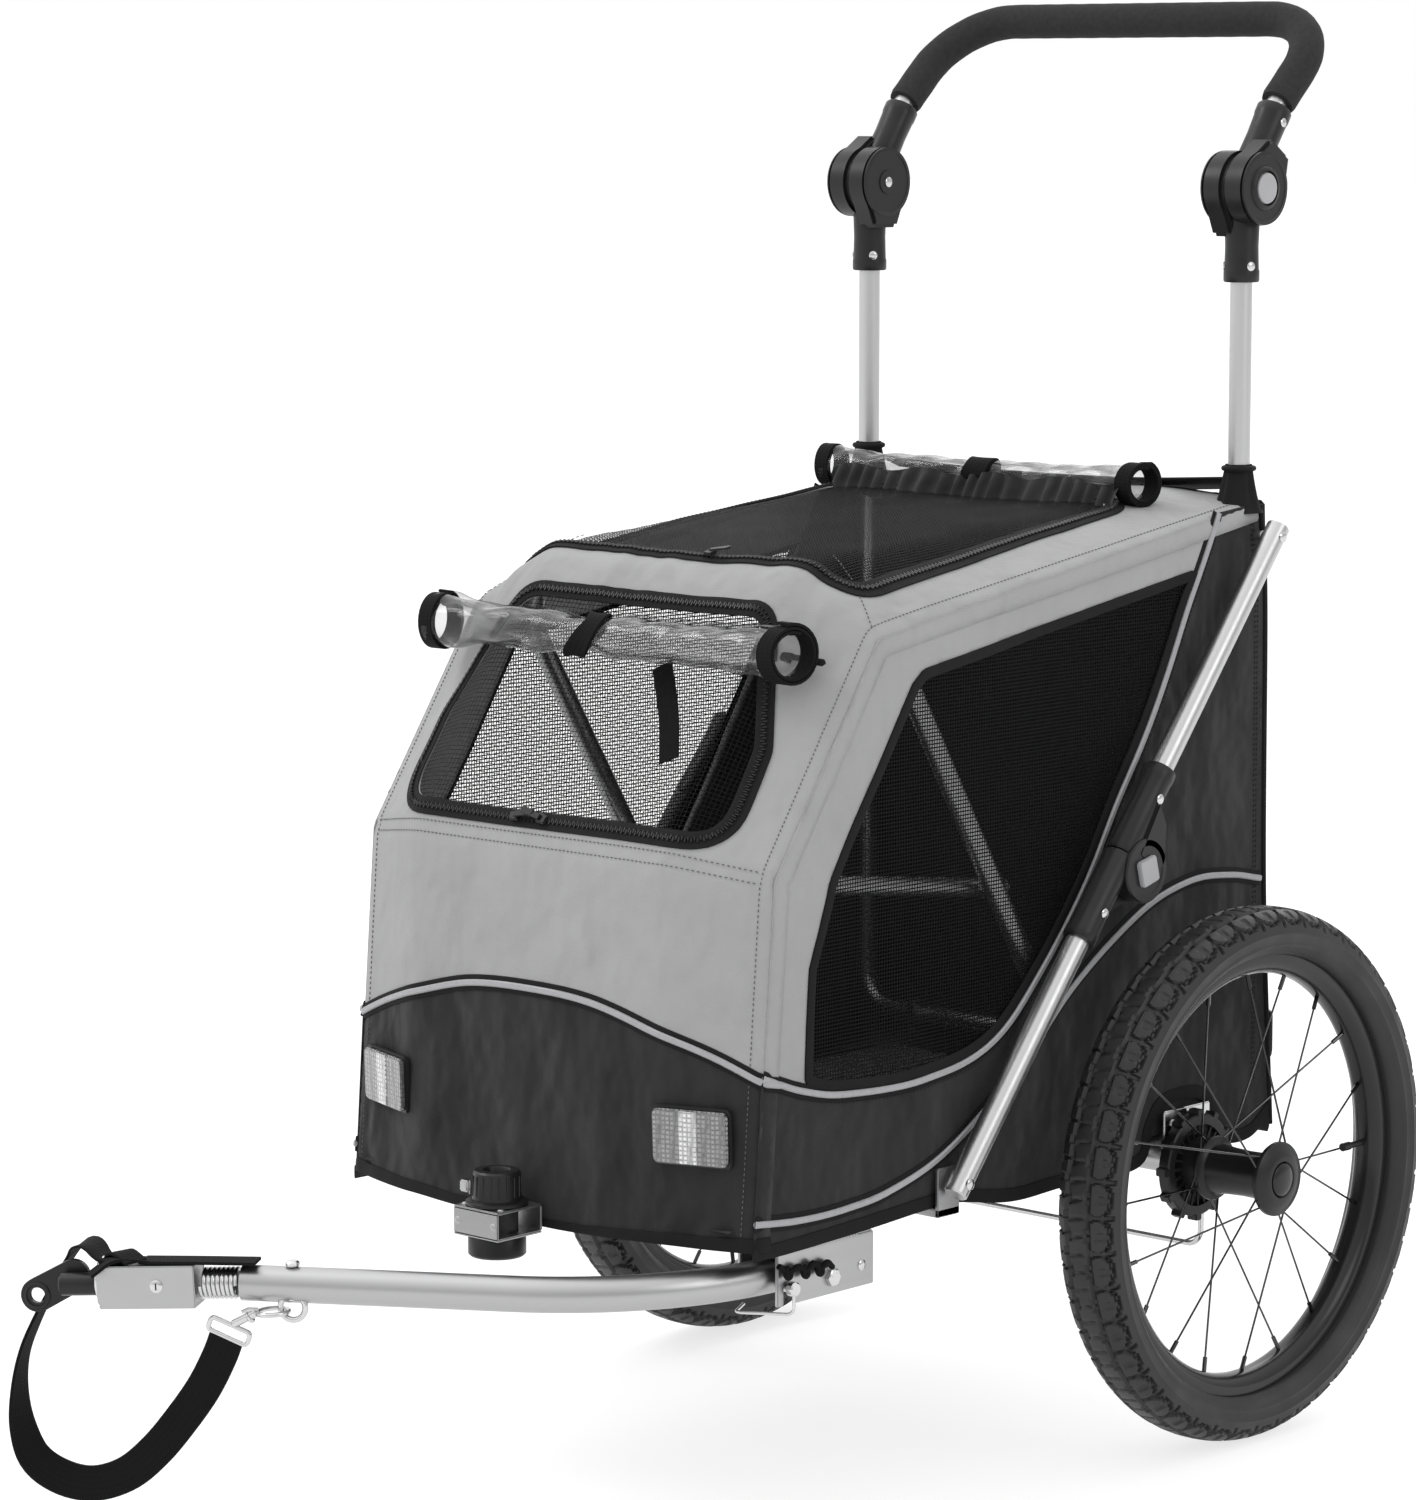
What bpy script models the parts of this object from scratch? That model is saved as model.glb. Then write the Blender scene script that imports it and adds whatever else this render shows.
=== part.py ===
"""Pet stroller trailer: a folding fabric cabin on two spoked wheels, with a push handle and a tow bar.

Metres, +Z up. -Y is the front, +X is the object's left side. Every dimension below is measured from
the wheel axle's Y position and from the ground. AXLE_Y then moves the finished model so that its
origin is the centre of its footprint.
"""

import math

import bmesh
import bpy
from mathutils import Matrix, Vector

# ---------------------------------------------------------------- driving dimensions
AXLE_Y = 0.2857
GAP = 0.0003
SIDES = (("left", 1), ("right", -1))

# Wheels
WHEEL_RADIUS = 0.200
WHEEL_X = 0.2576
WHEEL_STEPS = 36
TYRE_SEAT_RADIUS = 0.1662
RIM_RADIUS = 0.1655
RIM_INNER_RADIUS = 0.150
AXLE_RADIUS = 0.006
HUB_BORE = 0.0068
SPOKE_RADIUS = 0.0011
SPOKES_PER_FLANGE = 10

# Base frame
TUBE_RADIUS = 0.009
BASE_Z = 0.214
BASE_X = 0.176
BASE_FRONT_Y = -0.460
BASE_REAR_Y = 0.095

# Rear frame and push handle
UPRIGHT_X = 0.184
UPRIGHT_Y = 0.080
UPRIGHT_RADIUS = 0.0083
FOLD_Z = 0.262
PIVOT_Y = 0.080
PIVOT_Z = 0.9265
PIVOT_DISC_RADIUS = 0.028
SLEEVE_RADIUS = 0.0135
SLEEVE_LENGTH = 0.070
HANDLE_KNEE = (0.1234, 0.9916)
HANDLE_TOP = (0.190, 1.053)
HANDLE_BEND = 0.058
FOAM_RADIUS = 0.0135

# Folding side struts
STRUT_X = 0.215
STRUT_RADIUS = 0.0088
STRUT_FOOT = Vector((STRUT_X, -0.278, 0.231))
STRUT_HEAD = Vector((STRUT_X, 0.083, 0.667))
ELBOW_ALONG = 0.494
ELBOW_OFFSET = 0.0195
ELBOW_HUB_RADIUS = 0.024
ELBOW_SLEEVE_RADIUS = 0.0125
ELBOW_SLEEVE_LENGTH = 0.075

# Hoops inside the cabin
HOOP_X = 0.180
HOOP_RADIUS = 0.008
HOOP_FOOT = (-0.078, 0.232)
HOOP_TOP = (-0.340, 0.655)
NOSE_X = 0.162
NOSE_RADIUS = 0.007
NOSE_PIVOT = (-0.1994, 0.428)
NOSE_FRONT = (-0.470, 0.462)

# Tow bar and its receiver
TOW_RADIUS = 0.0125
TOW_X = 0.171
TOW_Z = 0.184
TOW_BOLT = (-0.388, 0.178)
TOW_PIN_Y = -0.433
TOW_CORNER = Vector((TOW_X, -0.533, TOW_Z))
TOW_END = Vector((-0.081, -0.694, TOW_Z))
TOW_BEND = 0.200
RECEIVER_X = (0.152, 0.190)
RECEIVER_Y = (-0.444, -0.343)
RECEIVER_Z = (0.166, 0.2045)
RECEIVER_WALL = 0.003

# Coupling, as distances along the bar from TOW_END
COUPLING_DROP = 3.0
SPRING_SPAN = (0.0008, 0.0302)
SPRING_RADIUS = 0.0115
COUPLER_SPAN = (0.0310, 0.1010)
COUPLER_WIDTH = 0.028
COUPLER_HEIGHT = 0.030
ARM_RADIUS = 0.008
ARM_SPAN = (0.060, 0.131)
HITCH_HOLE = (0.151, -0.0095)
HITCH_HOLE_RADIUS = 0.0055

# Safety strap
STRAP_WIDTH = 0.025
STRAP_THICKNESS = 0.0022
STRAP_TWIST = (0.33, 0.70)

# Fabric cabin
CABIN_X = 0.200
CABIN_KINK_X = 0.125
CABIN_WALL = 0.0025
HEM_Z = 0.2125

# ---------------------------------------------------------------- materials
MATERIALS = {
    "aluminium": ((0.72, 0.72, 0.73), 0.32, 1.0),
    "steel": ((0.78, 0.78, 0.79), 0.22, 1.0),
    "black_plastic": ((0.025, 0.025, 0.027), 0.45, 0.0),
    "grey_plastic": ((0.45, 0.45, 0.46), 0.45, 0.0),
    "tyre": ((0.018, 0.018, 0.019), 0.75, 0.0),
    "rim": ((0.02, 0.02, 0.022), 0.30, 0.3),
    "foam": ((0.02, 0.02, 0.022), 0.85, 0.0),
    "light_fabric": ((0.46, 0.46, 0.46), 0.85, 0.0),
    "dark_fabric": ((0.045, 0.045, 0.048), 0.85, 0.0),
    "mesh": ((0.02, 0.02, 0.02), 0.9, 0.0),
    "clear_film": ((0.80, 0.82, 0.84), 0.15, 0.0),
    "reflector": ((0.85, 0.85, 0.86), 0.15, 0.2),
    "webbing": ((0.015, 0.015, 0.016), 0.85, 0.0),
    "cushion": ((0.10, 0.10, 0.11), 0.9, 0.0),
    "board": ((0.12, 0.10, 0.08), 0.6, 0.0),
}


def material(name):
    """Return the named material, making it the first time."""
    found = bpy.data.materials.get(name)
    if found:
        return found
    colour, roughness, metallic = MATERIALS[name]
    made = bpy.data.materials.new(name)
    made.use_nodes = True
    shader = made.node_tree.nodes["Principled BSDF"]
    shader.inputs["Base Color"].default_value = (*colour, 1.0)
    shader.inputs["Roughness"].default_value = roughness
    shader.inputs["Metallic"].default_value = metallic
    return made


# ---------------------------------------------------------------- shape helpers
def make_object(bm, name="shape"):
    """Turn a bmesh into an object whose faces point outwards."""
    bmesh.ops.recalc_face_normals(bm, faces=bm.faces)
    mesh = bpy.data.meshes.new(name)
    bm.to_mesh(mesh)
    bm.free()
    made = bpy.data.objects.new(name, mesh)
    bpy.context.collection.objects.link(made)
    return made


def evaluate(shape):
    """Apply the object's modifiers to its mesh."""
    depsgraph = bpy.context.evaluated_depsgraph_get()
    result = bpy.data.meshes.new_from_object(shape.evaluated_get(depsgraph))
    shape.modifiers.clear()
    shape.data = result
    return shape


def boolean(shape, tools, operation):
    """Combine the shape with each tool in turn by an exact Boolean, and remove the tools."""
    for tool in tools:
        step = shape.modifiers.new("boolean", "BOOLEAN")
        step.operation = operation
        step.solver = "EXACT"
        step.object = tool
        evaluate(shape)
        bpy.data.objects.remove(tool)
    return shape


def union(shape, *tools):
    return boolean(shape, tools, "UNION")


def cut(shape, *tools):
    return boolean(shape, tools, "DIFFERENCE")


def duplicate(shape):
    copied = shape.copy()
    copied.data = shape.data.copy()
    bpy.context.collection.objects.link(copied)
    return copied


def box(low, high):
    """Axis-aligned box between two corners."""
    low, high = Vector(low), Vector(high)
    size = Vector([abs(b - a) for a, b in zip(low, high)])
    place = Matrix.Translation((low + high) / 2) @ Matrix.Diagonal((*size, 1.0))
    bm = bmesh.new()
    bmesh.ops.create_cube(bm, size=1.0, matrix=place)
    return make_object(bm)


def basis(direction, up=(0, 0, 1)):
    """Two unit vectors that complete a right-handed frame with the direction."""
    along = Vector(direction).normalized()
    guide = Vector(up)
    if abs(along.dot(guide)) > 0.99:
        guide = Vector((0, 1, 0))
    across = guide.cross(along).normalized()
    return across, along.cross(across)


def rings_to_object(rings, closed=False, capped=True):
    """Skin a list of equal rings of points; closed joins the last ring to the first."""
    bm = bmesh.new()
    loops = [[bm.verts.new(point) for point in ring] for ring in rings]
    count = len(loops[0])
    pairs = list(zip(loops, loops[1:]))
    if closed:
        pairs.append((loops[-1], loops[0]))
    for ring_a, ring_b in pairs:
        for i in range(count):
            j = (i + 1) % count
            bm.faces.new((ring_a[i], ring_a[j], ring_b[j], ring_b[i]))
    if capped and not closed:
        bm.faces.new(loops[0])
        bm.faces.new(loops[-1])
    return make_object(bm)


def circle(centre, across, over, radius, sides, phase=0.5):
    """Points of a circle spanned by two unit vectors."""
    points = []
    for i in range(sides):
        angle = math.tau * (i + phase) / sides
        points.append(centre + radius * (math.cos(angle) * across + math.sin(angle) * over))
    return points


def path_frames(path, closed=False):
    """Tangent and two cross vectors at each path point, carried along without twisting."""
    points = [Vector(p) for p in path]
    last = len(points) - 1
    frames = []
    across = None
    for i, point in enumerate(points):
        before = points[i - 1] if i or closed else point
        after = points[(i + 1) % len(points)] if i < last or closed else point
        tangent = (after - before).normalized()
        if across is None:
            across, over = basis(tangent)
        else:
            across = (across - tangent * across.dot(tangent)).normalized()
            over = tangent.cross(across)
        frames.append((point, tangent, across, over))
    return frames


def tube(path, radius, sides=10, closed=False):
    """Round bar along a path."""
    frames = path_frames(path, closed)
    rings = [circle(p, across, over, radius, sides) for p, _, across, over in frames]
    return rings_to_object(rings, closed)


def rod(start, end, radius, sides=12):
    """Straight round bar."""
    return tube([start, end], radius, sides)


def fillet(points, radius, steps=4):
    """Replace each inner corner of a path by an arc of the given radius."""
    points = [Vector(p) for p in points]
    path = [points[0]]
    for before, corner, after in zip(points, points[1:], points[2:]):
        back = (before - corner).normalized()
        ahead = (after - corner).normalized()
        half = back.angle(ahead) / 2
        centre = corner + (back + ahead).normalized() * radius / math.sin(half)
        reach = radius / math.tan(half)
        start = corner + back * reach - centre
        end = corner + ahead * reach - centre
        sweep = start.angle(end)
        for i in range(steps + 1):
            t = i / steps
            weight_a = math.sin((1 - t) * sweep) / math.sin(sweep)
            weight_b = math.sin(t * sweep) / math.sin(sweep)
            path.append(centre + weight_a * start + weight_b * end)
    path.append(points[-1])
    return path


def revolve(profile, centre, axis, steps, phase=0.5):
    """Ring turned from a closed profile of (radius, distance along the axis) points."""
    along = Vector(axis).normalized()
    across, over = basis(along)
    centre = Vector(centre)
    rings = []
    for i in range(steps):
        angle = math.tau * (i + phase) / steps
        outward = math.cos(angle) * across + math.sin(angle) * over
        rings.append([centre + outward * radius + along * height for radius, height in profile])
    return rings_to_object(rings, closed=True)


def torus(centre, axis, radius, thickness, steps=14, sides=6):
    """Wire ring."""
    profile = []
    for i in range(sides):
        angle = math.tau * i / sides
        profile.append((radius + thickness * math.cos(angle), thickness * math.sin(angle)))
    return revolve(profile, centre, axis, steps)


def prism(outline, axis, low, high):
    """Extrude a flat outline along X, Y or Z; the outline holds the two other coordinates in order."""
    slot = "XYZ".index(axis)

    def lift(point, level):
        values = list(point)
        values.insert(slot, level)
        return Vector(values)

    rings = [[lift(point, level) for point in outline] for level in (low, high)]
    return rings_to_object(rings)


def grow(outline, amount):
    """Move each corner of a convex outline away from its centre by the amount."""
    centre = sum((Vector(p) for p in outline), Vector((0, 0))) / len(outline)
    return [Vector(p) + (Vector(p) - centre).normalized() * amount for p in outline]


def mirrored(points):
    """Outline that is symmetric about its first coordinate, from its right half."""
    return list(points) + [(-x, y) for x, y in reversed(points)]


# ---------------------------------------------------------------- naming and placing
def pivot_empty(name, place, parent=None):
    """Empty on a joint's axis, which carries the pieces that turn or slide with it."""
    made = bpy.data.objects.new(name, None)
    made.empty_display_size = 0.03
    bpy.context.collection.objects.link(made)
    world = Vector(place) + Vector((0, AXLE_Y, 0))
    made.location = world
    made["world"] = world
    if parent:
        made.parent = parent
        made.location = world - Vector(parent["world"])
    return made


def finish(shape, name, material_name, parent):
    """Name a sub-part, give it its material and hang it on its parent empty."""
    shape.name = name
    shape.data.name = name
    shape.data.materials.clear()
    shape.data.materials.append(material(material_name))
    shape.data.polygons.foreach_set("material_index", [0] * len(shape.data.polygons))
    shape.data.transform(Matrix.Translation(Vector((0, AXLE_Y, 0)) - Vector(parent["world"])))
    shape.data.shade_smooth()
    shape.data.set_sharp_from_angle(angle=math.radians(35))
    shape.parent = parent
    return shape


# ---------------------------------------------------------------- base frame and floor
def strut_lug(side):
    """Bent tab under the hem that carries the foot of a side strut."""
    foot_y, foot_z = STRUT_FOOT.y, STRUT_FOOT.z
    inner, outer = 0.2012, 0.2042
    foot = box((side * 0.172, foot_y - 0.012, 0.2055), (side * outer, foot_y + 0.012, 0.2115))
    ear = box((side * inner, foot_y - 0.012, 0.2055), (side * outer, foot_y + 0.012, foot_z + 0.010))
    return union(foot, ear)


def fold_lug(x):
    """Ear on the rear cross tube that the rear frame's cross bar turns in."""
    ear = box((x - 0.003, 0.060, 0.212), (x + 0.003, 0.102, FOLD_Z + 0.014))
    bar = rod((x - 0.01, UPRIGHT_Y, FOLD_Z), (x + 0.01, UPRIGHT_Y, FOLD_Z), UPRIGHT_RADIUS + 0.0006)
    return cut(ear, bar)


def build_base_frame(root):
    corners = [
        (-BASE_X, BASE_FRONT_Y, BASE_Z),
        (BASE_X, BASE_FRONT_Y, BASE_Z),
        (BASE_X, BASE_REAR_Y, BASE_Z),
        (-BASE_X, BASE_REAR_Y, BASE_Z),
    ]
    middle = (0, BASE_FRONT_Y, BASE_Z)
    ring = fillet([middle] + corners[1:] + corners[:1] + [middle], 0.045, 3)[:-1]
    frame = tube(ring, TUBE_RADIUS, 8, closed=True)
    crossbars = [
        rod((-BASE_X, y, BASE_Z), (BASE_X, y, BASE_Z), 0.008, 8) for y in (-0.330, -0.150)
    ]
    axle = rod((-0.2006, 0, WHEEL_RADIUS), (0.2006, 0, WHEEL_RADIUS), 0.010, 10)
    lugs = [fold_lug(side * 0.120) for _, side in SIDES]
    for _, side in SIDES:
        lugs.append(strut_lug(side))
        foot_y, foot_z = HOOP_FOOT
        low, high = (side * 0.1665, foot_y - 0.014, 0.205), (side * 0.1705, foot_y + 0.014, foot_z + 0.010)
        lugs.append(box(low, high))
        lugs.append(box((side * 0.1865, 0.021, 0.192), (side * 0.1905, 0.041, 0.2135)))
        lugs.append(box((side * 0.1780, 0.021, 0.2060), (side * 0.1905, 0.041, 0.2135)))
    nose = box((-0.012, -0.503, BASE_Z - 0.0095), (0.012, BASE_FRONT_Y, BASE_Z - 0.0025))
    frame = union(frame, *crossbars, axle, nose, *lugs)
    finish(frame, "base_frame", "aluminium", root)


def build_floor(root):
    top = BASE_Z + TUBE_RADIUS + GAP
    board = box((-0.136, -0.448, top), (0.136, 0.052, top + 0.003))
    finish(board, "floor_board", "board", root)
    low = top + 0.003 + GAP
    outline = [(-0.133, -0.445), (0.133, -0.445), (0.133, 0.049), (-0.133, 0.049)]
    inset = [(x * 0.95, y * 0.985) for x, y in outline]
    rings = []
    for ring, z in ((inset, low), (outline, low + 0.006), (outline, low + 0.014), (inset, low + 0.020)):
        rings.append([Vector((x, y, z)) for x, y in ring])
    finish(rings_to_object(rings), "floor_cushion", "cushion", root)


# ---------------------------------------------------------------- wheels
def build_axle_bracket(name, side, root):
    """Steel plate on the end of the axle tube, with the stub axle that the hub turns on."""
    plate = box((side * 0.2012, -0.028, 0.188), (side * 0.2042, 0.028, 0.243))
    stub = rod((side * 0.2030, 0, WHEEL_RADIUS), (side * 0.2832, 0, WHEEL_RADIUS), AXLE_RADIUS)
    finish(union(plate, stub), f"{name}_axle_bracket", "steel", root)


def hub_profile():
    """Closed outline of the hub and its brake ring, as (radius, distance from the frame's middle)."""
    return [
        (HUB_BORE, 0.2065),
        (0.0388, 0.2065),
        (0.0388, 0.2165),
        (0.0310, 0.2165),
        (0.0310, 0.2110),
        (0.0205, 0.2110),
        (0.0188, 0.2270),
        (0.0290, 0.2280),
        (0.0290, 0.2318),
        (0.0182, 0.2340),
        (0.0168, 0.2600),
        (0.0178, 0.2820),
        (0.0275, 0.2845),
        (0.0275, 0.2895),
        (0.0190, 0.2930),
        (0.0132, 0.2930),
        (0.0132, 0.2880),
        (HUB_BORE, 0.2880),
    ]


def brake_tooth(side, turn):
    """One tooth of the brake ring."""
    low = (side * 0.2068, -0.0030, WHEEL_RADIUS + 0.0370)
    high = (side * 0.2162, 0.0030, WHEEL_RADIUS + 0.0425)
    tooth = box(low, high)
    centre = Vector((0, 0, WHEEL_RADIUS))
    spin = Matrix.Translation(centre) @ Matrix.Rotation(turn, 4, "X") @ Matrix.Translation(-centre)
    tooth.data.transform(spin)
    return tooth


def build_hub(name, side, body):
    centre = Vector((0, 0, WHEEL_RADIUS))
    hub = revolve(hub_profile(), centre, (side, 0, 0), 20)
    spokes = []
    for flange, (flange_x, flange_radius) in enumerate(((0.2299, 0.024), (0.2870, 0.022))):
        for i in range(SPOKES_PER_FLANGE):
            angle = math.tau * (i + flange / 2) / SPOKES_PER_FLANGE
            outward = Vector((0, math.cos(angle), math.sin(angle)))
            start = centre + outward * flange_radius + Vector((side * flange_x, 0, 0))
            end = centre + outward * (RIM_INNER_RADIUS - 0.0014) + Vector((side * WHEEL_X, 0, 0))
            spokes.append(rod(start, end, SPOKE_RADIUS, 5))
    teeth = [brake_tooth(side, math.tau * i / 12) for i in range(12)]
    finish(union(hub, *spokes, *teeth), f"{name}_hub", "black_plastic", body)


def build_wheel(name, side, root):
    centre = Vector((side * WHEEL_X, 0, WHEEL_RADIUS))
    body = pivot_empty(f"{name}_wheel_pivot", centre, root)
    crown = WHEEL_RADIUS / math.cos(math.pi / WHEEL_STEPS)
    tyre_half = [
        (TYRE_SEAT_RADIUS, 0.0100),
        (0.1720, 0.0195),
        (0.1820, 0.0255),
        (0.1930, 0.0205),
        (crown, 0.0095),
    ]
    tyre = tyre_half + [(radius, -x) for radius, x in reversed(tyre_half)]
    finish(revolve(tyre, centre, (1, 0, 0), WHEEL_STEPS), f"{name}_tyre", "tyre", body)
    rim_half = [(RIM_INNER_RADIUS, 0.0070), (0.1560, 0.0121), (RIM_RADIUS, 0.0121), (0.1600, 0.0090)]
    rim = rim_half + [(radius, -x) for radius, x in reversed(rim_half)]
    finish(revolve(rim, centre, (1, 0, 0), WHEEL_STEPS), f"{name}_rim", "rim", body)
    build_hub(name, side, body)
    start = Vector((side * 0.2872, 0, WHEEL_RADIUS))
    button_body = pivot_empty(f"{name}_axle_button_slide", start, root)
    stem = rod(start, start + Vector((side * 0.0060, 0, 0)), 0.0063, 12)
    cap = rod(start + Vector((side * 0.0043, 0, 0)), start + Vector((side * 0.0083, 0, 0)), 0.0125, 16)
    finish(union(stem, cap), f"{name}_axle_button", "black_plastic", button_body)
    build_axle_bracket(name, side, root)


# ---------------------------------------------------------------- rear frame and push handle
def pivot_sleeve(side, direction, disc_x, stem_x):
    """Plastic joint half: a disc beside the pivot and a stem that grips a tube along the direction."""
    centre = Vector((0, PIVOT_Y, PIVOT_Z))
    along = Vector((0, *direction)).normalized()
    across = Vector((0, -along.z, along.y))
    disc = rod(centre + Vector((side * disc_x[0], 0, 0)), centre + Vector((side * disc_x[1], 0, 0)),
               PIVOT_DISC_RADIUS, 20)
    corners = []
    for reach in (0.005, 0.040):
        for width in (-0.0115, 0.0115) if reach < 0.02 else (0.0115, -0.0115):
            corners.append(centre + along * reach + across * width)
    bridge = prism([(p.y, p.z) for p in corners], "X", *sorted((side * disc_x[0], side * disc_x[1])))
    stem_centre = centre + Vector((side * stem_x, 0, 0))
    stem = rod(stem_centre + along * (PIVOT_DISC_RADIUS + 0.0007), stem_centre + along * SLEEVE_LENGTH,
               SLEEVE_RADIUS, 12)
    bore = rod(stem_centre + along * 0.0317, stem_centre + along * 0.1, UPRIGHT_RADIUS + GAP, 12)
    return cut(union(disc, bridge, stem), bore)


def build_rear_frame(root):
    body = pivot_empty("rear_frame_pivot", (0, UPRIGHT_Y, FOLD_Z), root)
    top = PIVOT_Z - 0.032
    points = [
        (UPRIGHT_X, UPRIGHT_Y, top),
        (UPRIGHT_X, UPRIGHT_Y, FOLD_Z),
        (-UPRIGHT_X, UPRIGHT_Y, FOLD_Z),
        (-UPRIGHT_X, UPRIGHT_Y, top),
    ]
    frame = tube(fillet(points, 0.030, 3), UPRIGHT_RADIUS, 12)
    pins = []
    for _, side in SIDES:
        head = Vector((0, STRUT_HEAD.y, STRUT_HEAD.z))
        start, end = Vector((side * 0.186, 0, 0)), Vector((side * 0.2057, 0, 0))
        pins.append(rod(head + start, head + end, 0.004, 10))
    finish(union(frame, *pins), "upright_frame", "aluminium", body)
    for name, side in SIDES:
        sleeve = pivot_sleeve(side, (0, -1), (0.1655, 0.1850), UPRIGHT_X)
        finish(sleeve, f"{name}_lower_pivot", "black_plastic", body)
    return body


def handle_path():
    """Centre line of the push handle, from one pivot sleeve over the top to the other."""
    knee = Vector((0, *HANDLE_KNEE))
    pivot = Vector((0, PIVOT_Y, PIVOT_Z))
    start = pivot + (knee - pivot).normalized() * 0.032
    top = Vector((0, *HANDLE_TOP))
    half = [Vector((UPRIGHT_X, p.y, p.z)) for p in (start, knee, top)]
    return half, [Vector((-p.x, p.y, p.z)) for p in reversed(half)]


def build_handlebar(rear_frame):
    body = pivot_empty("handlebar_pivot", (0, PIVOT_Y, PIVOT_Z), rear_frame)
    left, right = handle_path()
    finish(tube(fillet(left + right, HANDLE_BEND, 4), UPRIGHT_RADIUS, 10), "handle_tube", "aluminium", body)
    direction = (left[1] - left[0]).normalized()
    pivot = Vector((UPRIGHT_X, PIVOT_Y, PIVOT_Z))
    grip_start = pivot + direction * (SLEEVE_LENGTH + 0.0050)
    grip_end = Vector((-grip_start.x, grip_start.y, grip_start.z))
    grip_path = fillet([grip_start, left[2], right[0], grip_end], HANDLE_BEND, 4)
    grip_core = fillet(left + right, HANDLE_BEND, 4)
    foam = tube(grip_path, FOAM_RADIUS, 12)
    finish(cut(foam, tube(grip_core, UPRIGHT_RADIUS + GAP, 10)), "foam_grip", "foam", body)
    for name, side in SIDES:
        sleeve = pivot_sleeve(side, (direction.y, direction.z), (0.1855, 0.2050), UPRIGHT_X)
        pocket = rod((side * 0.1945, PIVOT_Y, PIVOT_Z), (side * 0.2100, PIVOT_Y, PIVOT_Z), 0.0126, 20)
        finish(cut(sleeve, pocket), f"{name}_upper_pivot", "black_plastic", body)
        start = Vector((side * 0.1990, PIVOT_Y, PIVOT_Z))
        slide = pivot_empty(f"{name}_handle_button_slide", start, body)
        button = rod(start, (side * 0.2085, PIVOT_Y, PIVOT_Z), 0.0120, 16)
        finish(button, f"{name}_handle_button", "grey_plastic", slide)


# ---------------------------------------------------------------- folding side struts
def strut_points(side):
    """Foot, tube gap, elbow pivot and head of one strut."""
    flip = Vector((side, 1, 1))
    foot, head = STRUT_FOOT * flip, STRUT_HEAD * flip
    along = (head - foot).normalized()
    behind = Vector((0, along.z, -along.y))
    gap = foot + (head - foot) * ELBOW_ALONG
    return foot, gap, gap + behind * ELBOW_OFFSET, head


def elbow_half(side, gap, elbow, along, own_x, other_x):
    """Sleeve and hinge disc of one strut half, cut back where the other half's disc turns."""
    def disc(radius, span, sides=18):
        start = Vector((side * span[0], elbow.y, elbow.z))
        return rod(start, Vector((side * span[1], elbow.y, elbow.z)), radius, sides)

    sleeve = rod(gap + along * 0.0004, gap + along * ELBOW_SLEEVE_LENGTH, ELBOW_SLEEVE_RADIUS, 12)
    bore = rod(gap + along * 0.0225, gap + along * 0.12, STRUT_RADIUS + GAP, 12)
    solid = cut(union(sleeve, disc(ELBOW_HUB_RADIUS, own_x)), bore)
    return cut(solid, disc(ELBOW_HUB_RADIUS + 0.0006, other_x))


def build_strut(name, side, root):
    foot, gap, elbow, head = strut_points(side)
    along = (head - foot).normalized()
    inner, outer = (0.2010, 0.2147), (0.2153, 0.2290)
    lower = pivot_empty(f"{name}_lower_strut_pivot", foot, root)
    upper = pivot_empty(f"{name}_upper_strut_pivot", elbow, lower)
    finish(rod(foot - along * 0.010, gap - along * 0.0230, STRUT_RADIUS),
           f"{name}_lower_strut", "aluminium", lower)
    finish(elbow_half(side, gap, elbow, -along, inner, (outer[0] - GAP, 0.2400)),
           f"{name}_lower_elbow", "black_plastic", lower)
    finish(rod(gap + along * 0.0230, head + along * 0.010, STRUT_RADIUS),
           f"{name}_upper_strut", "aluminium", upper)
    half = elbow_half(side, gap, elbow, along, outer, (0.1900, inner[1] + GAP))
    diamond = box((side * 0.2200, -0.0104, -0.0104), (side * 0.2400, 0.0104, 0.0104))
    turn = Matrix.Translation(elbow * Vector((0, 1, 1))) @ Matrix.Rotation(math.radians(15), 4, "X")
    diamond.data.transform(turn)
    finish(cut(half, diamond), f"{name}_upper_elbow", "black_plastic", upper)
    slide = pivot_empty(f"{name}_elbow_button_slide", elbow, upper)
    button = box((side * 0.2235, -0.0100, -0.0100), (side * 0.2320, 0.0100, 0.0100))
    button.data.transform(turn)
    finish(button, f"{name}_elbow_button", "grey_plastic", slide)


# ---------------------------------------------------------------- hoops and brake
def build_hoops(root):
    hoop_body = pivot_empty("front_hoop_pivot", (0, *HOOP_FOOT), root)
    points = [
        (HOOP_X, *HOOP_FOOT),
        (HOOP_X, *HOOP_TOP),
        (-HOOP_X, *HOOP_TOP),
        (-HOOP_X, *HOOP_FOOT),
    ]
    finish(tube(fillet(points, 0.085, 5), HOOP_RADIUS, 10), "front_hoop", "aluminium", hoop_body)
    nose_body = pivot_empty("nose_hoop_pivot", (0, *NOSE_PIVOT), hoop_body)
    pivot, front = Vector((0, *NOSE_PIVOT)), Vector((0, *NOSE_FRONT))
    back = pivot + (pivot - front).normalized() * 0.030
    points = []
    for side, ends in ((1, (back, front)), (-1, (front, back))):
        for end in ends:
            points.append((side * NOSE_X, end.y, end.z))
    nose = tube(fillet(points, 0.045, 4), NOSE_RADIUS, 10)
    rivets = []
    for _, side in SIDES:
        rivets.append(rod((side * NOSE_X, *NOSE_PIVOT), (side * 0.1715, *NOSE_PIVOT), 0.003, 8))
    finish(union(nose, *rivets), "nose_hoop", "aluminium", nose_body)


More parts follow.
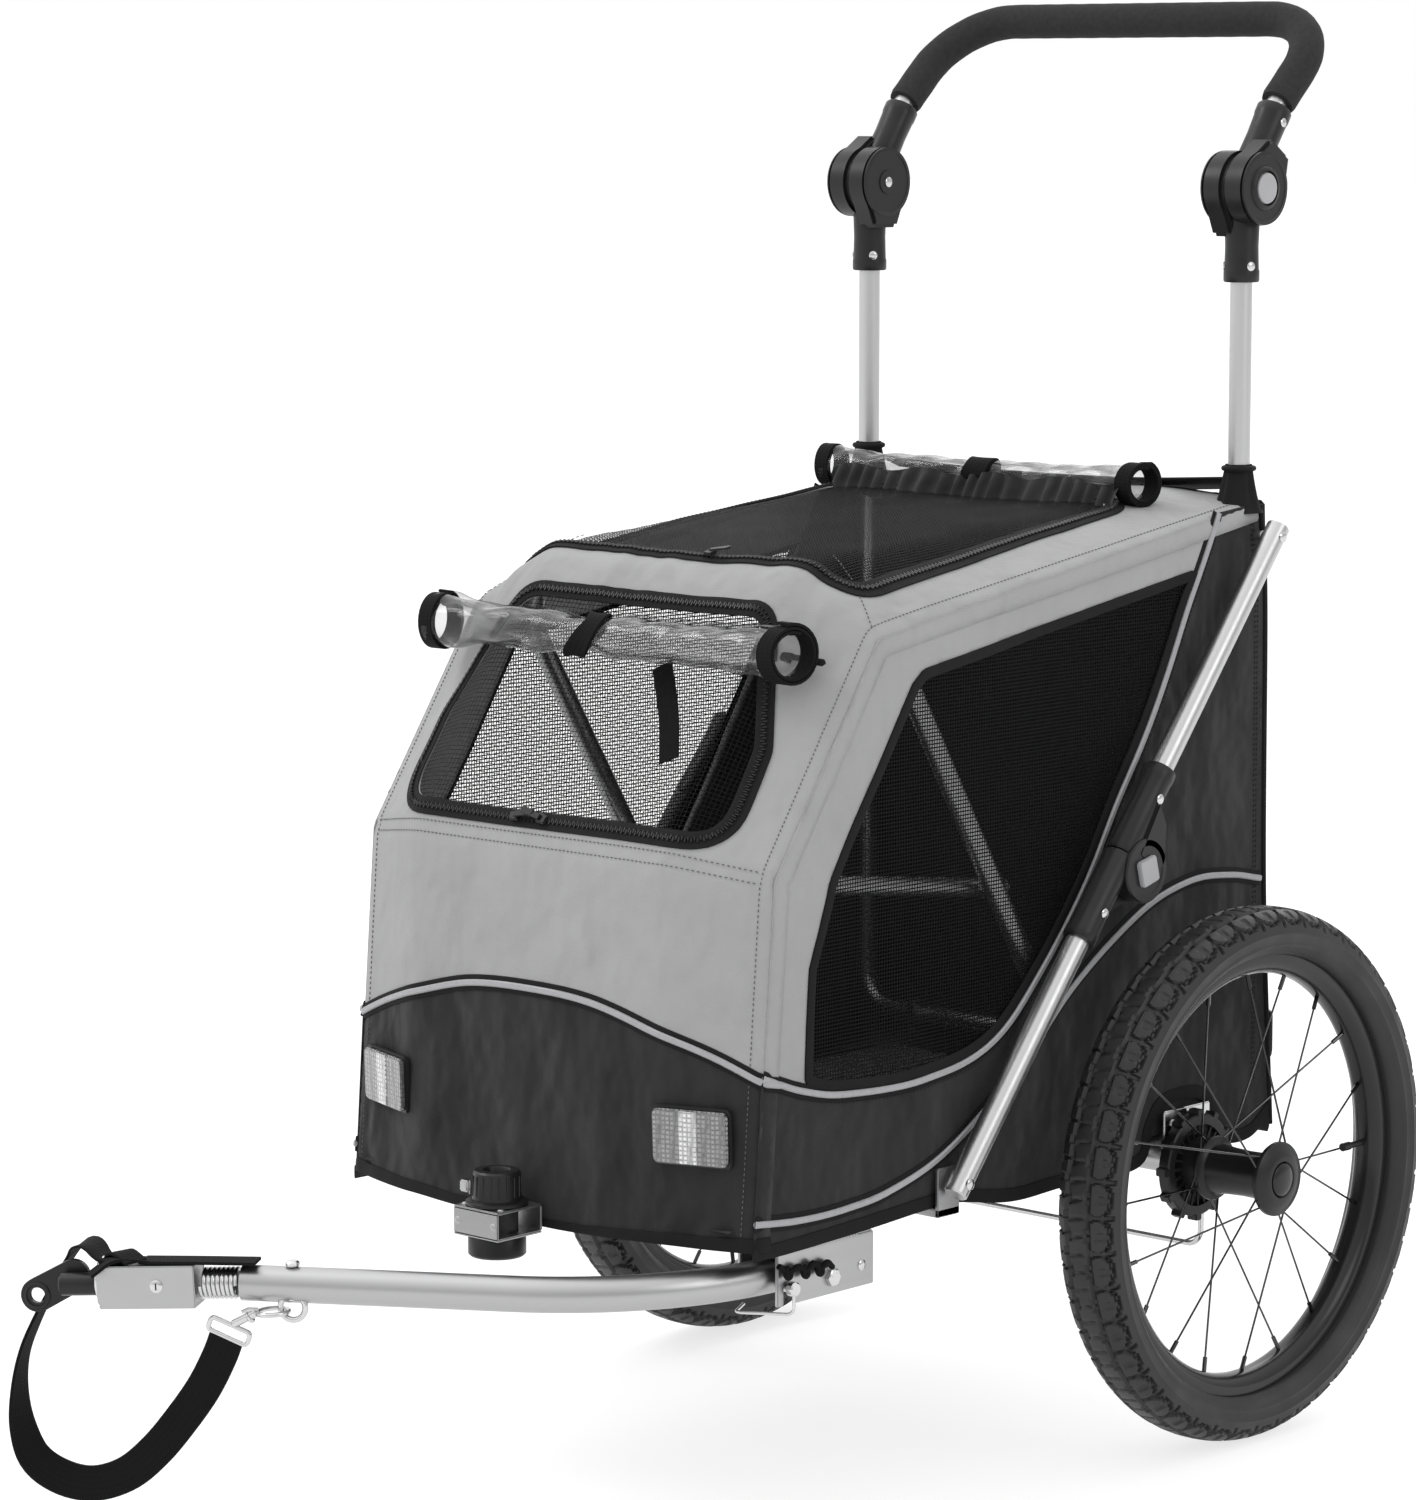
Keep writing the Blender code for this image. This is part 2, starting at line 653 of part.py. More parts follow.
def build_brake_bar(root):
    eye_y, eye_z, low_z = 0.031, 0.200, 0.130
    wire = 0.00225
    body = pivot_empty("brake_bar_pivot", (0, eye_y, eye_z), root)
    leg_x = 0.1945
    points = [
        (leg_x, eye_y, eye_z),
        (leg_x, eye_y, low_z),
        (-leg_x, eye_y, low_z),
        (-leg_x, eye_y, eye_z),
    ]
    bar = tube(fillet(points, 0.012, 4), wire, 8)
    eyes = []
    for _, side in SIDES:
        eyes.append(rod((side * 0.1912, eye_y, eye_z), (side * 0.1972, eye_y, eye_z), 0.006, 12))
    finish(union(bar, *eyes), "brake_bar", "steel", body)


# ---------------------------------------------------------------- front wheel bracket
def build_front_bracket(root):
    """Folded steel bracket with the plastic socket and catch that hold a jogging wheel's stem."""
    socket_y = -0.5275
    bracket = box((-0.022, -0.549, 0.203), (0.022, -0.5045, 0.224))
    hollow = box((-0.030, -0.547, 0.205), (0.030, -0.500, 0.222))
    stem_hole = rod((0, socket_y, 0.19), (0, socket_y, 0.24), 0.0153, 16)
    tongue = box((-0.0215, -0.5055, 0.2045), (0.0215, -0.5035, 0.2225))
    bracket = union(cut(bracket, hollow, stem_hole), tongue)
    finish(bracket, "front_bracket", "steel", root)
    profile = [
        (0.0085, 0.1880),
        (0.0205, 0.1880),
        (0.0205, 0.2027),
        (0.0150, 0.2027),
        (0.0150, 0.2243),
        (0.0225, 0.2243),
        (0.0225, 0.2275),
        (0.0175, 0.2275),
        (0.0165, 0.2490),
        (0.0085, 0.2490),
    ]
    finish(revolve(profile, (0, socket_y, 0), (0, 0, 1), 18), "front_socket", "black_plastic", root)
    body = pivot_empty("front_catch_slide", (-0.026, socket_y, 0.232), root)
    catch = box((-0.0320, socket_y - 0.006, 0.2295), (-0.0235, socket_y + 0.006, 0.2380))
    blade = box((-0.0245, socket_y - 0.004, 0.2282), (-0.0228, socket_y + 0.004, 0.2380))
    finish(union(catch, blade), "front_catch", "steel", body)


# ---------------------------------------------------------------- tow bar
def build_receiver(root):
    (x0, x1), (y0, y1), (z0, z1) = RECEIVER_X, RECEIVER_Y, RECEIVER_Z
    wall = RECEIVER_WALL
    channel = box((x0, y0, z0), (x1, y1, z1))
    inside = box((x0 + wall, y0 - 0.01, z0 - 0.01), (x1 - wall, y1 + 0.01, z1 - wall))
    notch_top = rod((x0 - 0.01, TOW_PIN_Y, TOW_BOLT[1]), (x1 + 0.01, TOW_PIN_Y, TOW_BOLT[1]), 0.0044, 12)
    notch = box((x0 - 0.01, TOW_PIN_Y - 0.0044, z0 - 0.01), (x1 + 0.01, TOW_PIN_Y + 0.0070, TOW_BOLT[1]))
    bolt = rod((x0 - 0.004, *TOW_BOLT), (x1 + 0.004, *TOW_BOLT), 0.004, 12)
    channel = union(cut(channel, inside, notch_top, notch), bolt)
    finish(channel, "tow_receiver", "aluminium", root)


def coupling_frame():
    """Origin and axes of the coupling: along the bar, out to the front, and up."""
    level = (TOW_END - TOW_CORNER).normalized()
    side = Vector((-level.y, level.x, 0))
    along = Matrix.Rotation(math.radians(COUPLING_DROP), 3, side) @ level
    return TOW_END, along, side, along.cross(side)


def coupling_point(s, lateral=0.0, up=0.0):
    origin, along, side, over = coupling_frame()
    return origin + along * s + side * lateral + over * up


def coupling_box(span, lateral, up):
    """Box in the coupling's own axes."""
    bm = bmesh.new()
    bmesh.ops.create_cube(bm, size=1.0)
    shape = make_object(bm)
    origin, along, side, over = coupling_frame()
    axes = Matrix((along, side, over)).transposed().to_4x4()
    middle = [(a + b) / 2 for a, b in (span, lateral, up)]
    size = [abs(b - a) for a, b in (span, lateral, up)]
    place = Matrix.Translation(origin) @ axes @ Matrix.Translation(middle) @ Matrix.Diagonal((*size, 1))
    shape.data.transform(place)
    if place.determinant() < 0:
        shape.data.flip_normals()
    return shape


def build_tow_bar(root):
    body = pivot_empty("tow_bar_pivot", (TOW_X, *TOW_BOLT), root)
    start = Vector((TOW_X, -0.3785, TOW_Z))
    bar = tube(fillet([start, TOW_CORNER, TOW_END], TOW_BEND, 8), TOW_RADIUS, 14)
    bolt_hole = rod((0.14, *TOW_BOLT), (0.20, *TOW_BOLT), 0.0044, 12)
    pin_hole = rod((0.14, TOW_PIN_Y, TOW_BOLT[1]), (0.20, TOW_PIN_Y, TOW_BOLT[1]), 0.0036, 10)
    _, _, side, _ = coupling_frame()
    eye = torus(coupling_point(-0.036, 0.006, -0.0165), side, 0.010, 0.002)
    finish(union(cut(bar, bolt_hole, pin_hole), eye), "tow_bar", "aluminium", body)
    spring = rod(coupling_point(SPRING_SPAN[0]), coupling_point(SPRING_SPAN[1]), SPRING_RADIUS, 14)
    finish(spring, "tow_spring", "steel", body)
    return body


def build_tow_pin(tow_bar):
    """Locking pin with its wire bail, which hooks under the receiver."""
    z = TOW_BOLT[1]
    body = pivot_empty("tow_pin_slide", (0.194, TOW_PIN_Y, z), tow_bar)
    pin = rod((0.1490, TOW_PIN_Y, z), (0.1950, TOW_PIN_Y, z), 0.003, 10)
    head = rod((0.1912, TOW_PIN_Y, z), (0.1975, TOW_PIN_Y, z), 0.0052, 12)
    low = RECEIVER_Z[0] - 0.006
    bail_points = [
        (0.1950, TOW_PIN_Y, z),
        (0.1950, TOW_PIN_Y, low),
        (0.1600, TOW_PIN_Y - 0.022, low),
        (0.1480, TOW_PIN_Y, low),
    ]
    bail = tube(fillet(bail_points, 0.005, 3), 0.0012, 6)
    finish(union(pin, head, bail), "tow_pin", "steel", body)


def hitch_plate():
    """Flat eye plate with round ends, standing beside the hitch arm."""
    origin, along, side, over = coupling_frame()
    ends = ((Vector(HITCH_HOLE), 0.0120), (Vector((0.124, 0.0040)), 0.0115))
    axis = (ends[0][0] - ends[1][0]).normalized()
    normal = Vector((-axis.y, axis.x))
    outline = []
    for (centre, radius), turn in zip(ends, (1, -1)):
        for i in range(9):
            angle = math.pi * i / 8
            outline.append(centre + radius * turn * (math.cos(angle) * normal + math.sin(angle) * axis))
    rings = []
    for lateral in (-0.0118, -0.0076):
        rings.append([origin + along * p.x + over * p.y + side * lateral for p in outline])
    plate = rings_to_object(rings)
    hole = rod(coupling_point(HITCH_HOLE[0], -0.03, HITCH_HOLE[1]),
               coupling_point(HITCH_HOLE[0], 0.03, HITCH_HOLE[1]), HITCH_HOLE_RADIUS, 16)
    return cut(plate, hole)


def build_coupler(tow_bar):
    middle = sum(SPRING_SPAN) / 2
    body = pivot_empty("coupler_pivot", coupling_point(middle), tow_bar)
    half_width, half_height = COUPLER_WIDTH / 2, COUPLER_HEIGHT / 2
    shell = coupling_box(COUPLER_SPAN, (-half_width, half_width), (-half_height, half_height))
    bore = rod(coupling_point(0.055), coupling_point(0.12), ARM_RADIUS + 0.0005, 12)
    finish(cut(shell, bore), "coupler", "aluminium", body)
    arm_body = pivot_empty("hitch_arm_pivot", coupling_point(ARM_SPAN[0]), body)
    arm = rod(coupling_point(ARM_SPAN[0]), coupling_point(ARM_SPAN[1]), ARM_RADIUS, 14)
    finish(union(hitch_plate(), arm), "hitch_arm", "black_plastic", arm_body)
    return body


def smooth_path(points, count):
    """Even points on a smooth curve through the given ones."""
    points = [Vector(p) for p in points]
    padded = [2 * points[0] - points[1]] + points + [2 * points[-1] - points[-2]]
    dense = []
    for p0, p1, p2, p3 in zip(padded, padded[1:], padded[2:], padded[3:]):
        for i in range(12):
            t = i / 12
            dense.append(0.5 * (2 * p1 + (p2 - p0) * t + (2 * p0 - 5 * p1 + 4 * p2 - p3) * t ** 2
                                + (3 * p1 - p0 - 3 * p2 + p3) * t ** 3))
    dense.append(points[-1])
    lengths = [0.0]
    for a, b in zip(dense, dense[1:]):
        lengths.append(lengths[-1] + (b - a).length)
    path = []
    for i in range(count):
        target = lengths[-1] * i / (count - 1)
        j = max(k for k, length in enumerate(lengths[:-1]) if length <= target + 1e-12)
        t = (target - lengths[j]) / (lengths[j + 1] - lengths[j])
        path.append(dense[j].lerp(dense[j + 1], t))
    return path


# The strap's route in the coupling's axes: along the bar, to the side, and up.
STRAP_ROUTE = [
    (0.084, 0.000, 0.0168),
    (0.098, -0.003, 0.0180),
    (0.111, -0.013, 0.0240),
    (0.124, -0.027, 0.0210),
    (0.137, -0.034, 0.0070),
    (0.149, -0.034, -0.0120),
    (0.159, -0.028, -0.0310),
    (0.166, -0.016, -0.0520),
    (0.168, -0.006, -0.0760),
    (0.166, -0.001, -0.1000),
    (0.158, 0.000, -0.1230),
    (0.140, 0.000, -0.1370),
    (0.117, 0.000, -0.1420),
    (0.092, 0.000, -0.1350),
    (0.070, 0.000, -0.1180),
    (0.050, 0.000, -0.0960),
    (0.033, 0.000, -0.0740),
    (0.020, 0.002, -0.0520),
    (0.013, 0.004, -0.0370),
]


def build_strap(coupler):
    path = smooth_path([coupling_point(*p) for p in STRAP_ROUTE], 34)
    _, _, side, _ = coupling_frame()
    rings = []
    for i, (point, tangent, _, _) in enumerate(path_frames(path)):
        level = (side - tangent * side.dot(tangent)).normalized()
        face = tangent.cross(level)
        passed = (i / (len(path) - 1) - STRAP_TWIST[0]) / (STRAP_TWIST[1] - STRAP_TWIST[0])
        turned = min(1.0, max(0.0, passed))
        turn = math.pi / 2 * turned * turned * (3 - 2 * turned)
        half = (level * math.cos(turn) + face * math.sin(turn)) * STRAP_WIDTH / 2
        thick = (face * math.cos(turn) - level * math.sin(turn)) * STRAP_THICKNESS / 2
        low, high = point - thick, point + thick
        rings.append([low - half, low + half, high + half, high - half])
    finish(rings_to_object(rings), "safety_strap", "webbing", coupler)
    _, along, _, over = coupling_frame()
    ring = torus(coupling_point(-0.0215, 0.006, -0.0195), over, 0.011, 0.0018)
    shank = rod(coupling_point(-0.0108, 0.006, -0.0195), coupling_point(0.0045, 0.005, -0.0296), 0.0026, 8)
    loop = torus(coupling_point(0.0080, 0.004, -0.0290), (coupling_point(0.013, 0, -0.037)
                 - coupling_point(0.020, 0, -0.052)), 0.0060, 0.0016)
    bar = rod(coupling_point(-0.0055, 0.004, -0.0350), coupling_point(0.0190, 0.004, -0.0235), 0.0018, 8)
    finish(union(ring, shank, loop, bar), "strap_hook", "steel", coupler)


# ---------------------------------------------------------------- fabric cabin
def cabin_ring(front, kink, corner, rear, corner_z, rear_z, kink_x=CABIN_KINK_X, side_x=CABIN_X):
    """One level of the cabin, from the front left kink round to the front right kink."""
    kink_y, kink_z = kink
    half = [
        (kink_x, kink_y, kink_z),
        (side_x, corner, corner_z),
        (side_x, (corner + rear) / 2, (corner_z + rear_z) / 2),
        (side_x, rear - 0.012, rear_z),
        (side_x - 0.008, rear, rear_z),
    ]
    ring = [Vector((0, front, kink_z))]
    ring += [Vector(p) for p in half]
    ring += [Vector((-x, y, z)) for x, y, z in reversed(half)]
    return ring


def cabin_shell():
    """Whole fabric skin, open at the bottom, as one wall of even thickness."""
    rings = [
        cabin_ring(-0.5015, (-0.499, HEM_Z), -0.477, 0.112, HEM_Z, HEM_Z),
        cabin_ring(-0.488, (-0.484, 0.477), -0.456, 0.100, 0.466, 0.466),
        cabin_ring(-0.360, (-0.352, 0.668), -0.349, 0.098, 0.623, 0.691),
        cabin_ring(-0.334, (-0.328, 0.678), -0.318, 0.080, 0.669, 0.692, 0.110, 0.155),
    ]
    bm = bmesh.new()
    loops = [[bm.verts.new(point) for point in ring] for ring in rings]
    count = len(loops[0])
    for ring_a, ring_b in zip(loops, loops[1:]):
        for i in range(count):
            j = (i + 1) % count
            bm.faces.new((ring_a[i], ring_a[j], ring_b[j], ring_b[i]))
    top = bm.verts.new((0, -0.12, 0.684))
    for i in range(count):
        bm.faces.new((loops[-1][i], loops[-1][(i + 1) % count], top))
    bmesh.ops.triangulate(bm, faces=bm.faces)
    shell = make_object(bm)
    wall = shell.modifiers.new("wall", "SOLIDIFY")
    wall.thickness = CABIN_WALL
    wall.offset = -1.0
    wall.use_even_offset = True
    return evaluate(shell)


SIDE_WINDOW = [
    (-0.416, 0.322),
    (-0.270, 0.320),
    (-0.165, 0.380),
    (-0.100, 0.460),
    (-0.012, 0.600),
    (-0.004, 0.632),
    (-0.300, 0.590),
    (-0.385, 0.480),
]
FRONT_WINDOW = mirrored([(0.125, 0.494), (0.146, 0.510), (0.140, 0.590), (0.115, 0.628)])
ROOF_WINDOW = mirrored([(0.120, -0.300), (0.132, -0.285), (0.136, -0.020), (0.126, -0.004)])
DOOR = mirrored([(0.145, 0.255), (0.145, 0.655)])
LOWER_REGION = [
    (-0.62, 0.15),
    (-0.62, 0.372),
    (-0.495, 0.364),
    (-0.470, 0.338),
    (-0.430, 0.308),
    (-0.260, 0.308),
    (-0.155, 0.370),
    (-0.086, 0.460),
    (0.022, 0.650),
    (0.020, 0.760),
    (0.200, 0.760),
    (0.200, 0.15),
]


def window_cutters(amount):
    """Prisms through the side, front and roof windows and the rear door, each grown by the amount."""
    return {
        "left_side_mesh": prism(grow(SIDE_WINDOW, amount), "X", 0.15, 0.25),
        "right_side_mesh": prism(grow(SIDE_WINDOW, amount), "X", -0.25, -0.15),
        "front_mesh": prism(grow(FRONT_WINDOW, amount), "Y", -0.60, -0.34),
        "roof_mesh": prism(grow(ROOF_WINDOW, amount), "Z", 0.655, 0.75),
        "rear_door": prism(grow(DOOR, amount), "Y", 0.05, 0.20),
    }


def build_cabin(root, rear_frame):
    shell = cabin_shell()
    for _, side in SIDES:
        upright = Vector((side * UPRIGHT_X, UPRIGHT_Y, 0))
        shell = cut(shell, rod(upright + Vector((0, 0, 0.66)), upright + Vector((0, 0, 0.74)), 0.0098))
        head = Vector((side * 0.20, STRUT_HEAD.y, STRUT_HEAD.z))
        reach = Vector((side * 0.01, 0, 0))
        shell = cut(shell, rod(head - reach, head + reach, 0.0060))
    panels = window_cutters(-0.0010)
    door_body = pivot_empty("rear_door_pivot", (0, 0.0995, 0.654), rear_frame)
    for name, cutter in panels.items():
        panel = boolean(duplicate(shell), [cutter], "INTERSECT")
        if name == "rear_door":
            finish(panel, name, "dark_fabric", door_body)
        else:
            finish(panel, name, "mesh", root)
    for cutter in window_cutters(0.0).values():
        shell = cut(shell, cutter)
    region = prism(LOWER_REGION, "X", -0.3, 0.3)
    tub = boolean(duplicate(shell), [duplicate(region)], "INTERSECT")
    tub.data.transform(Matrix.Translation((0, 0.0003, -0.0004)))
    cover = cut(shell, region)
    finish(tub, "fabric_tub", "dark_fabric", root)
    finish(cover, "fabric_cover", "light_fabric", root)


def build_rolls(root):
    """Rolled-up clear rain covers of the front and roof windows."""
    front = rod((-0.160, -0.409, 0.628), (0.160, -0.409, 0.628), 0.0150, 12)
    finish(front, "front_window_roll", "clear_film", root)
    roof = rod((-0.160, 0.016, 0.7105), (0.160, 0.016, 0.7105), 0.0150, 12)
    finish(roof, "roof_window_roll", "clear_film", root)


def build_reflectors(root):
    for name, side in SIDES:
        lens = box((-0.0305, -0.004, -0.021), (0.0305, 0.004, 0.021))
        turn = Matrix.Rotation(side * math.atan2(0.028, 0.075), 4, "Z")
        lens.data.transform(Matrix.Translation((side * 0.1496, -0.4983, 0.288)) @ turn)
        finish(lens, f"{name}_front_reflector", "reflector", root)
        rear = box((side * 0.1400, 0.1130, 0.262), (side * 0.1980, 0.1210, 0.300))
        finish(rear, f"{name}_rear_reflector", "reflector", root)


# ---------------------------------------------------------------- assembly
def build():
    for old in list(bpy.data.objects):
        bpy.data.objects.remove(old)
    root = pivot_empty("stroller_origin", (0, -AXLE_Y, 0))
    build_base_frame(root)
    build_floor(root)
    for name, side in SIDES:
        build_wheel(name, side, root)
        build_strut(name, side, root)
    rear_frame = build_rear_frame(root)
    build_handlebar(rear_frame)
    build_hoops(root)
    build_brake_bar(root)
    build_front_bracket(root)
    build_receiver(root)
    tow_bar = build_tow_bar(root)
    build_tow_pin(tow_bar)
    build_strap(build_coupler(tow_bar))
    build_cabin(root, rear_frame)
    build_rolls(root)
    build_reflectors(root)
    bpy.context.view_layer.update()


build()
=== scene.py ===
"""Looks for the pet stroller trailer: fabric, tyres, tubes, fittings, materials, light and camera.

Metres, +Z up, -Y is the front, +X is the object's left side. Places are measured from the wheel
axle's Y position and from the ground, as in the CAD source; put() moves them into the row frame.
"""

import math

import bmesh
import bpy
import numpy as np
from mathutils import Matrix, Vector
from mathutils.geometry import delaunay_2d_cdt


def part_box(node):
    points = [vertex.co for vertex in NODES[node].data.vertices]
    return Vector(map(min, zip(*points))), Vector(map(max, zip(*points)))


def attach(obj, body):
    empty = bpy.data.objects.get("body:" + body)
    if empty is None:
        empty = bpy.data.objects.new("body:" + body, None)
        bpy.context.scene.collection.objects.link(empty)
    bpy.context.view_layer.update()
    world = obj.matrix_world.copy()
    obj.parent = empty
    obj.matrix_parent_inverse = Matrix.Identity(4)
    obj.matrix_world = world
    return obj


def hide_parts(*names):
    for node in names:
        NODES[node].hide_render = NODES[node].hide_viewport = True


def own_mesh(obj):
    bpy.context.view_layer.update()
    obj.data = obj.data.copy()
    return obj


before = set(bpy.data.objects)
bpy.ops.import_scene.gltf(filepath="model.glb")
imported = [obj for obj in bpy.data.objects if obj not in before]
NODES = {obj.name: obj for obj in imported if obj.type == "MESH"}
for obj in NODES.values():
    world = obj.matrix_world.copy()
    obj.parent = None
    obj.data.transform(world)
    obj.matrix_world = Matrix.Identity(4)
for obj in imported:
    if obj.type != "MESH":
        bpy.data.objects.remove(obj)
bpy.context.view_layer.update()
SIDES = (("left", 1), ("right", -1))

WHEEL_LOW, WHEEL_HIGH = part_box("left_tyre")
AXLE_Y = (WHEEL_LOW[1] + WHEEL_HIGH[1]) / 2
AXLE_Z = (WHEEL_LOW[2] + WHEEL_HIGH[2]) / 2
WHEEL_X = (WHEEL_LOW[0] + WHEEL_HIGH[0]) / 2


# ---------------------------------------------------------------- stage
def build_stage():
    """Camera, soft studio light and a pale floor."""
    camera_data = bpy.data.cameras.new("camera")
    camera_data.lens = 121.17
    camera_data.sensor_width = 36.0
    camera_data.clip_end = 60.0
    camera = bpy.data.objects.new("camera", camera_data)
    camera.location = (2.4636, -2.9774 + AXLE_Y, 1.0010)
    camera.rotation_euler = (math.radians(90 - 7.478), 0, math.radians(42.717))
    bpy.context.collection.objects.link(camera)
    bpy.context.scene.camera = camera

    floor_mesh = bpy.data.meshes.new("floor")
    reach = 40.0
    corners = [(-reach, -reach, 0), (reach, -reach, 0), (reach, reach, 0), (-reach, reach, 0)]
    floor_mesh.from_pydata(corners, [], [(0, 1, 2, 3)])
    floor = bpy.data.objects.new("floor", floor_mesh)
    floor.location.z = -0.0005
    bpy.context.collection.objects.link(floor)
    floor_mesh.materials.append(pale_floor())

    world = bpy.data.worlds.new("studio")
    world.use_nodes = True
    tree = world.node_tree
    background = tree.nodes["Background"]
    background.inputs["Color"].default_value = (1.0, 1.0, 1.0, 1.0)
    direction = tree.nodes.new("ShaderNodeTexCoord").outputs["Generated"]
    towards = tree.nodes.new("ShaderNodeVectorMath")
    towards.operation = "DOT_PRODUCT"
    towards.inputs[1].default_value = Vector((-0.36, 0.02, 0.93))
    tree.links.new(direction, towards.inputs[0])
    spread = tree.nodes.new("ShaderNodeMapRange")
    for key, value in (("From Min", -0.55), ("From Max", 0.95), ("To Min", 0.22), ("To Max", 1.55)):
        spread.inputs[key].default_value = value
    tree.links.new(towards.outputs["Value"], spread.inputs["Value"])
    seen = tree.nodes.new("ShaderNodeLightPath").outputs["Is Camera Ray"]
    choice = tree.nodes.new("ShaderNodeMix")
    choice.inputs[3].default_value = 1.0
    tree.links.new(seen, choice.inputs[0])
    tree.links.new(spread.outputs["Result"], choice.inputs[2])
    tree.links.new(choice.outputs[0], background.inputs["Strength"])
    bpy.context.scene.world = world
    bpy.context.scene.view_settings.view_transform = "Standard"
    panels = (
        ("key", (-1.9, -1.5, 3.0), 1.2, 24.0),
        ("side", (3.4, 0.4, 2.0), 1.6, 16.0),
        ("back", (-0.8, 2.8, 2.6), 2.0, 20.0),
    )
    for name, place, size, power in panels:
        light_data = bpy.data.lights.new(name, "AREA")
        light_data.shape = "SQUARE"
        light_data.size = size
        light_data.energy = power
        light = bpy.data.objects.new(name, light_data)
        light.location = place
        aim = Vector((0, 0, 0.5)) - Vector(place)
        light.rotation_euler = aim.to_track_quat("-Z", "Y").to_euler()
        bpy.context.collection.objects.link(light)


# ---------------------------------------------------------------- materials
class Shade:
    """A Principled material whose texture nodes are added one call at a time."""

    def __init__(self, name, colour, roughness, metallic=0.0):
        self.material = bpy.data.materials.new(name)
        self.material.use_nodes = True
        self.tree = self.material.node_tree
        self.shader = self.tree.nodes["Principled BSDF"]
        self.set("Base Color", (*colour, 1.0))
        self.set("Roughness", roughness)
        self.set("Metallic", metallic)
        self.colour = colour
        self.place = self.node("ShaderNodeTexCoord").outputs["Object"]

    def set(self, socket, value):
        self.shader.inputs[socket].default_value = value

    def node(self, kind, **values):
        made = self.tree.nodes.new(kind)
        for key, value in values.items():
            setattr(made, key, value)
        return made

    def link(self, source, target):
        self.tree.links.new(source, target)
        return target

    def math(self, operation, *values):
        made = self.node("ShaderNodeMath", operation=operation)
        for slot, value in zip(made.inputs, values):
            if isinstance(value, (int, float)):
                slot.default_value = value
            else:
                self.link(value, slot)
        return made.outputs[0]

    def uv(self):
        return self.node("ShaderNodeUVMap", uv_map="UVMap").outputs["UV"]

    def stretched(self, scale, source=None):
        """Texture coordinates scaled by three factors."""
        made = self.node("ShaderNodeMapping")
        made.inputs["Scale"].default_value = scale
        self.link(source or self.place, made.inputs["Vector"])
        return made.outputs["Vector"]

    def noise(self, scale, detail=3.0, source=None, roughness=0.5):
        made = self.node("ShaderNodeTexNoise")
        made.inputs["Scale"].default_value = scale
        made.inputs["Detail"].default_value = detail
        made.inputs["Roughness"].default_value = roughness
        self.link(source or self.place, made.inputs["Vector"])
        return made.outputs["Fac"]

    def wave(self, scale, direction, source=None):
        made = self.node("ShaderNodeTexWave", wave_type="BANDS", bands_direction=direction)
        made.inputs["Scale"].default_value = scale
        self.link(source or self.place, made.inputs["Vector"])
        return made.outputs["Fac"]

    def remap(self, value, low, high, from_low=0.3, from_high=0.7):
        made = self.node("ShaderNodeMapRange")
        for key, number in zip(("From Min", "From Max", "To Min", "To Max"),
                               (from_low, from_high, low, high)):
            made.inputs[key].default_value = number
        self.link(value, made.inputs["Value"])
        return made.outputs["Result"]

    def tint(self, value, low=0.85, high=1.12):
        """Colour that varies with the value around the base colour."""
        ramp = self.node("ShaderNodeMix", data_type="RGBA")
        for slot, factor in ((6, low), (7, high)):
            ramp.inputs[slot].default_value = (*[min(1.0, c * factor) for c in self.colour], 1.0)
        self.link(value, ramp.inputs[0])
        self.link(ramp.outputs[2], self.shader.inputs["Base Color"])

    def bump(self, value, strength, distance=0.001):
        made = self.node("ShaderNodeBump")
        made.inputs["Strength"].default_value = strength
        made.inputs["Distance"].default_value = distance
        self.link(value, made.inputs["Height"])
        if self.shader.inputs["Normal"].is_linked:
            self.link(self.shader.inputs["Normal"].links[0].from_socket, made.inputs["Normal"])
        self.link(made.outputs["Normal"], self.shader.inputs["Normal"])

    def roughen(self, value, low, high):
        self.link(self.remap(value, low, high), self.shader.inputs["Roughness"])

    def alpha(self, value):
        self.link(value, self.shader.inputs["Alpha"])


def pale_floor():
    """White sweep: bright enough to vanish, with only a trace of shadow."""
    shade = Shade("floor_pale", (0.32, 0.32, 0.32), 0.80)
    shade.tint(shade.noise(1.5), 0.99, 1.01)
    shade.set("Emission Color", (1.0, 1.0, 1.0, 1.0))
    shade.set("Emission Strength", 0.73)
    return shade.material


def plain_material(name, colour, roughness):
    """Matt paint with a faint mottling."""
    shade = Shade(name, colour, roughness)
    shade.tint(shade.noise(1.5), 0.99, 1.01)
    return shade.material


def woven(name, colour, contrast, sheen=0.25, wrinkles=1.0):
    """Coated polyester cloth: a fine two-way weave, soft mottling and a slight sheen."""
    weave = 2200.0
    shade = Shade(name, colour, 0.82)
    warp = shade.wave(weave / math.tau / 2, "Z")
    weft = shade.wave(weave / math.tau / 2, "DIAGONAL")
    threads = shade.math("MULTIPLY", warp, weft)
    mottle = shade.noise(55.0, 5.0)
    mixed = shade.math("ADD", shade.math("MULTIPLY", threads, 0.35),
                       shade.math("MULTIPLY", mottle, 0.65))
    mixed = shade.math("ADD", mixed, shade.remap(shade.noise(7.0, 4.0), -0.35, 0.35))
    shade.tint(mixed, 1 - contrast, 1 + contrast)
    folds = shade.noise(1.0, 3.0, shade.stretched((12.0, 12.0, 8.0)))
    shade.bump(folds, 1.0, 0.022 * wrinkles)
    shade.bump(shade.noise(30.0, 3.0), 0.6, 0.0030 * wrinkles)
    shade.bump(threads, 0.25, 0.0002)
    shade.set("Sheen Weight", sheen)
    shade.set("Specular IOR Level", 0.25)
    return shade.material


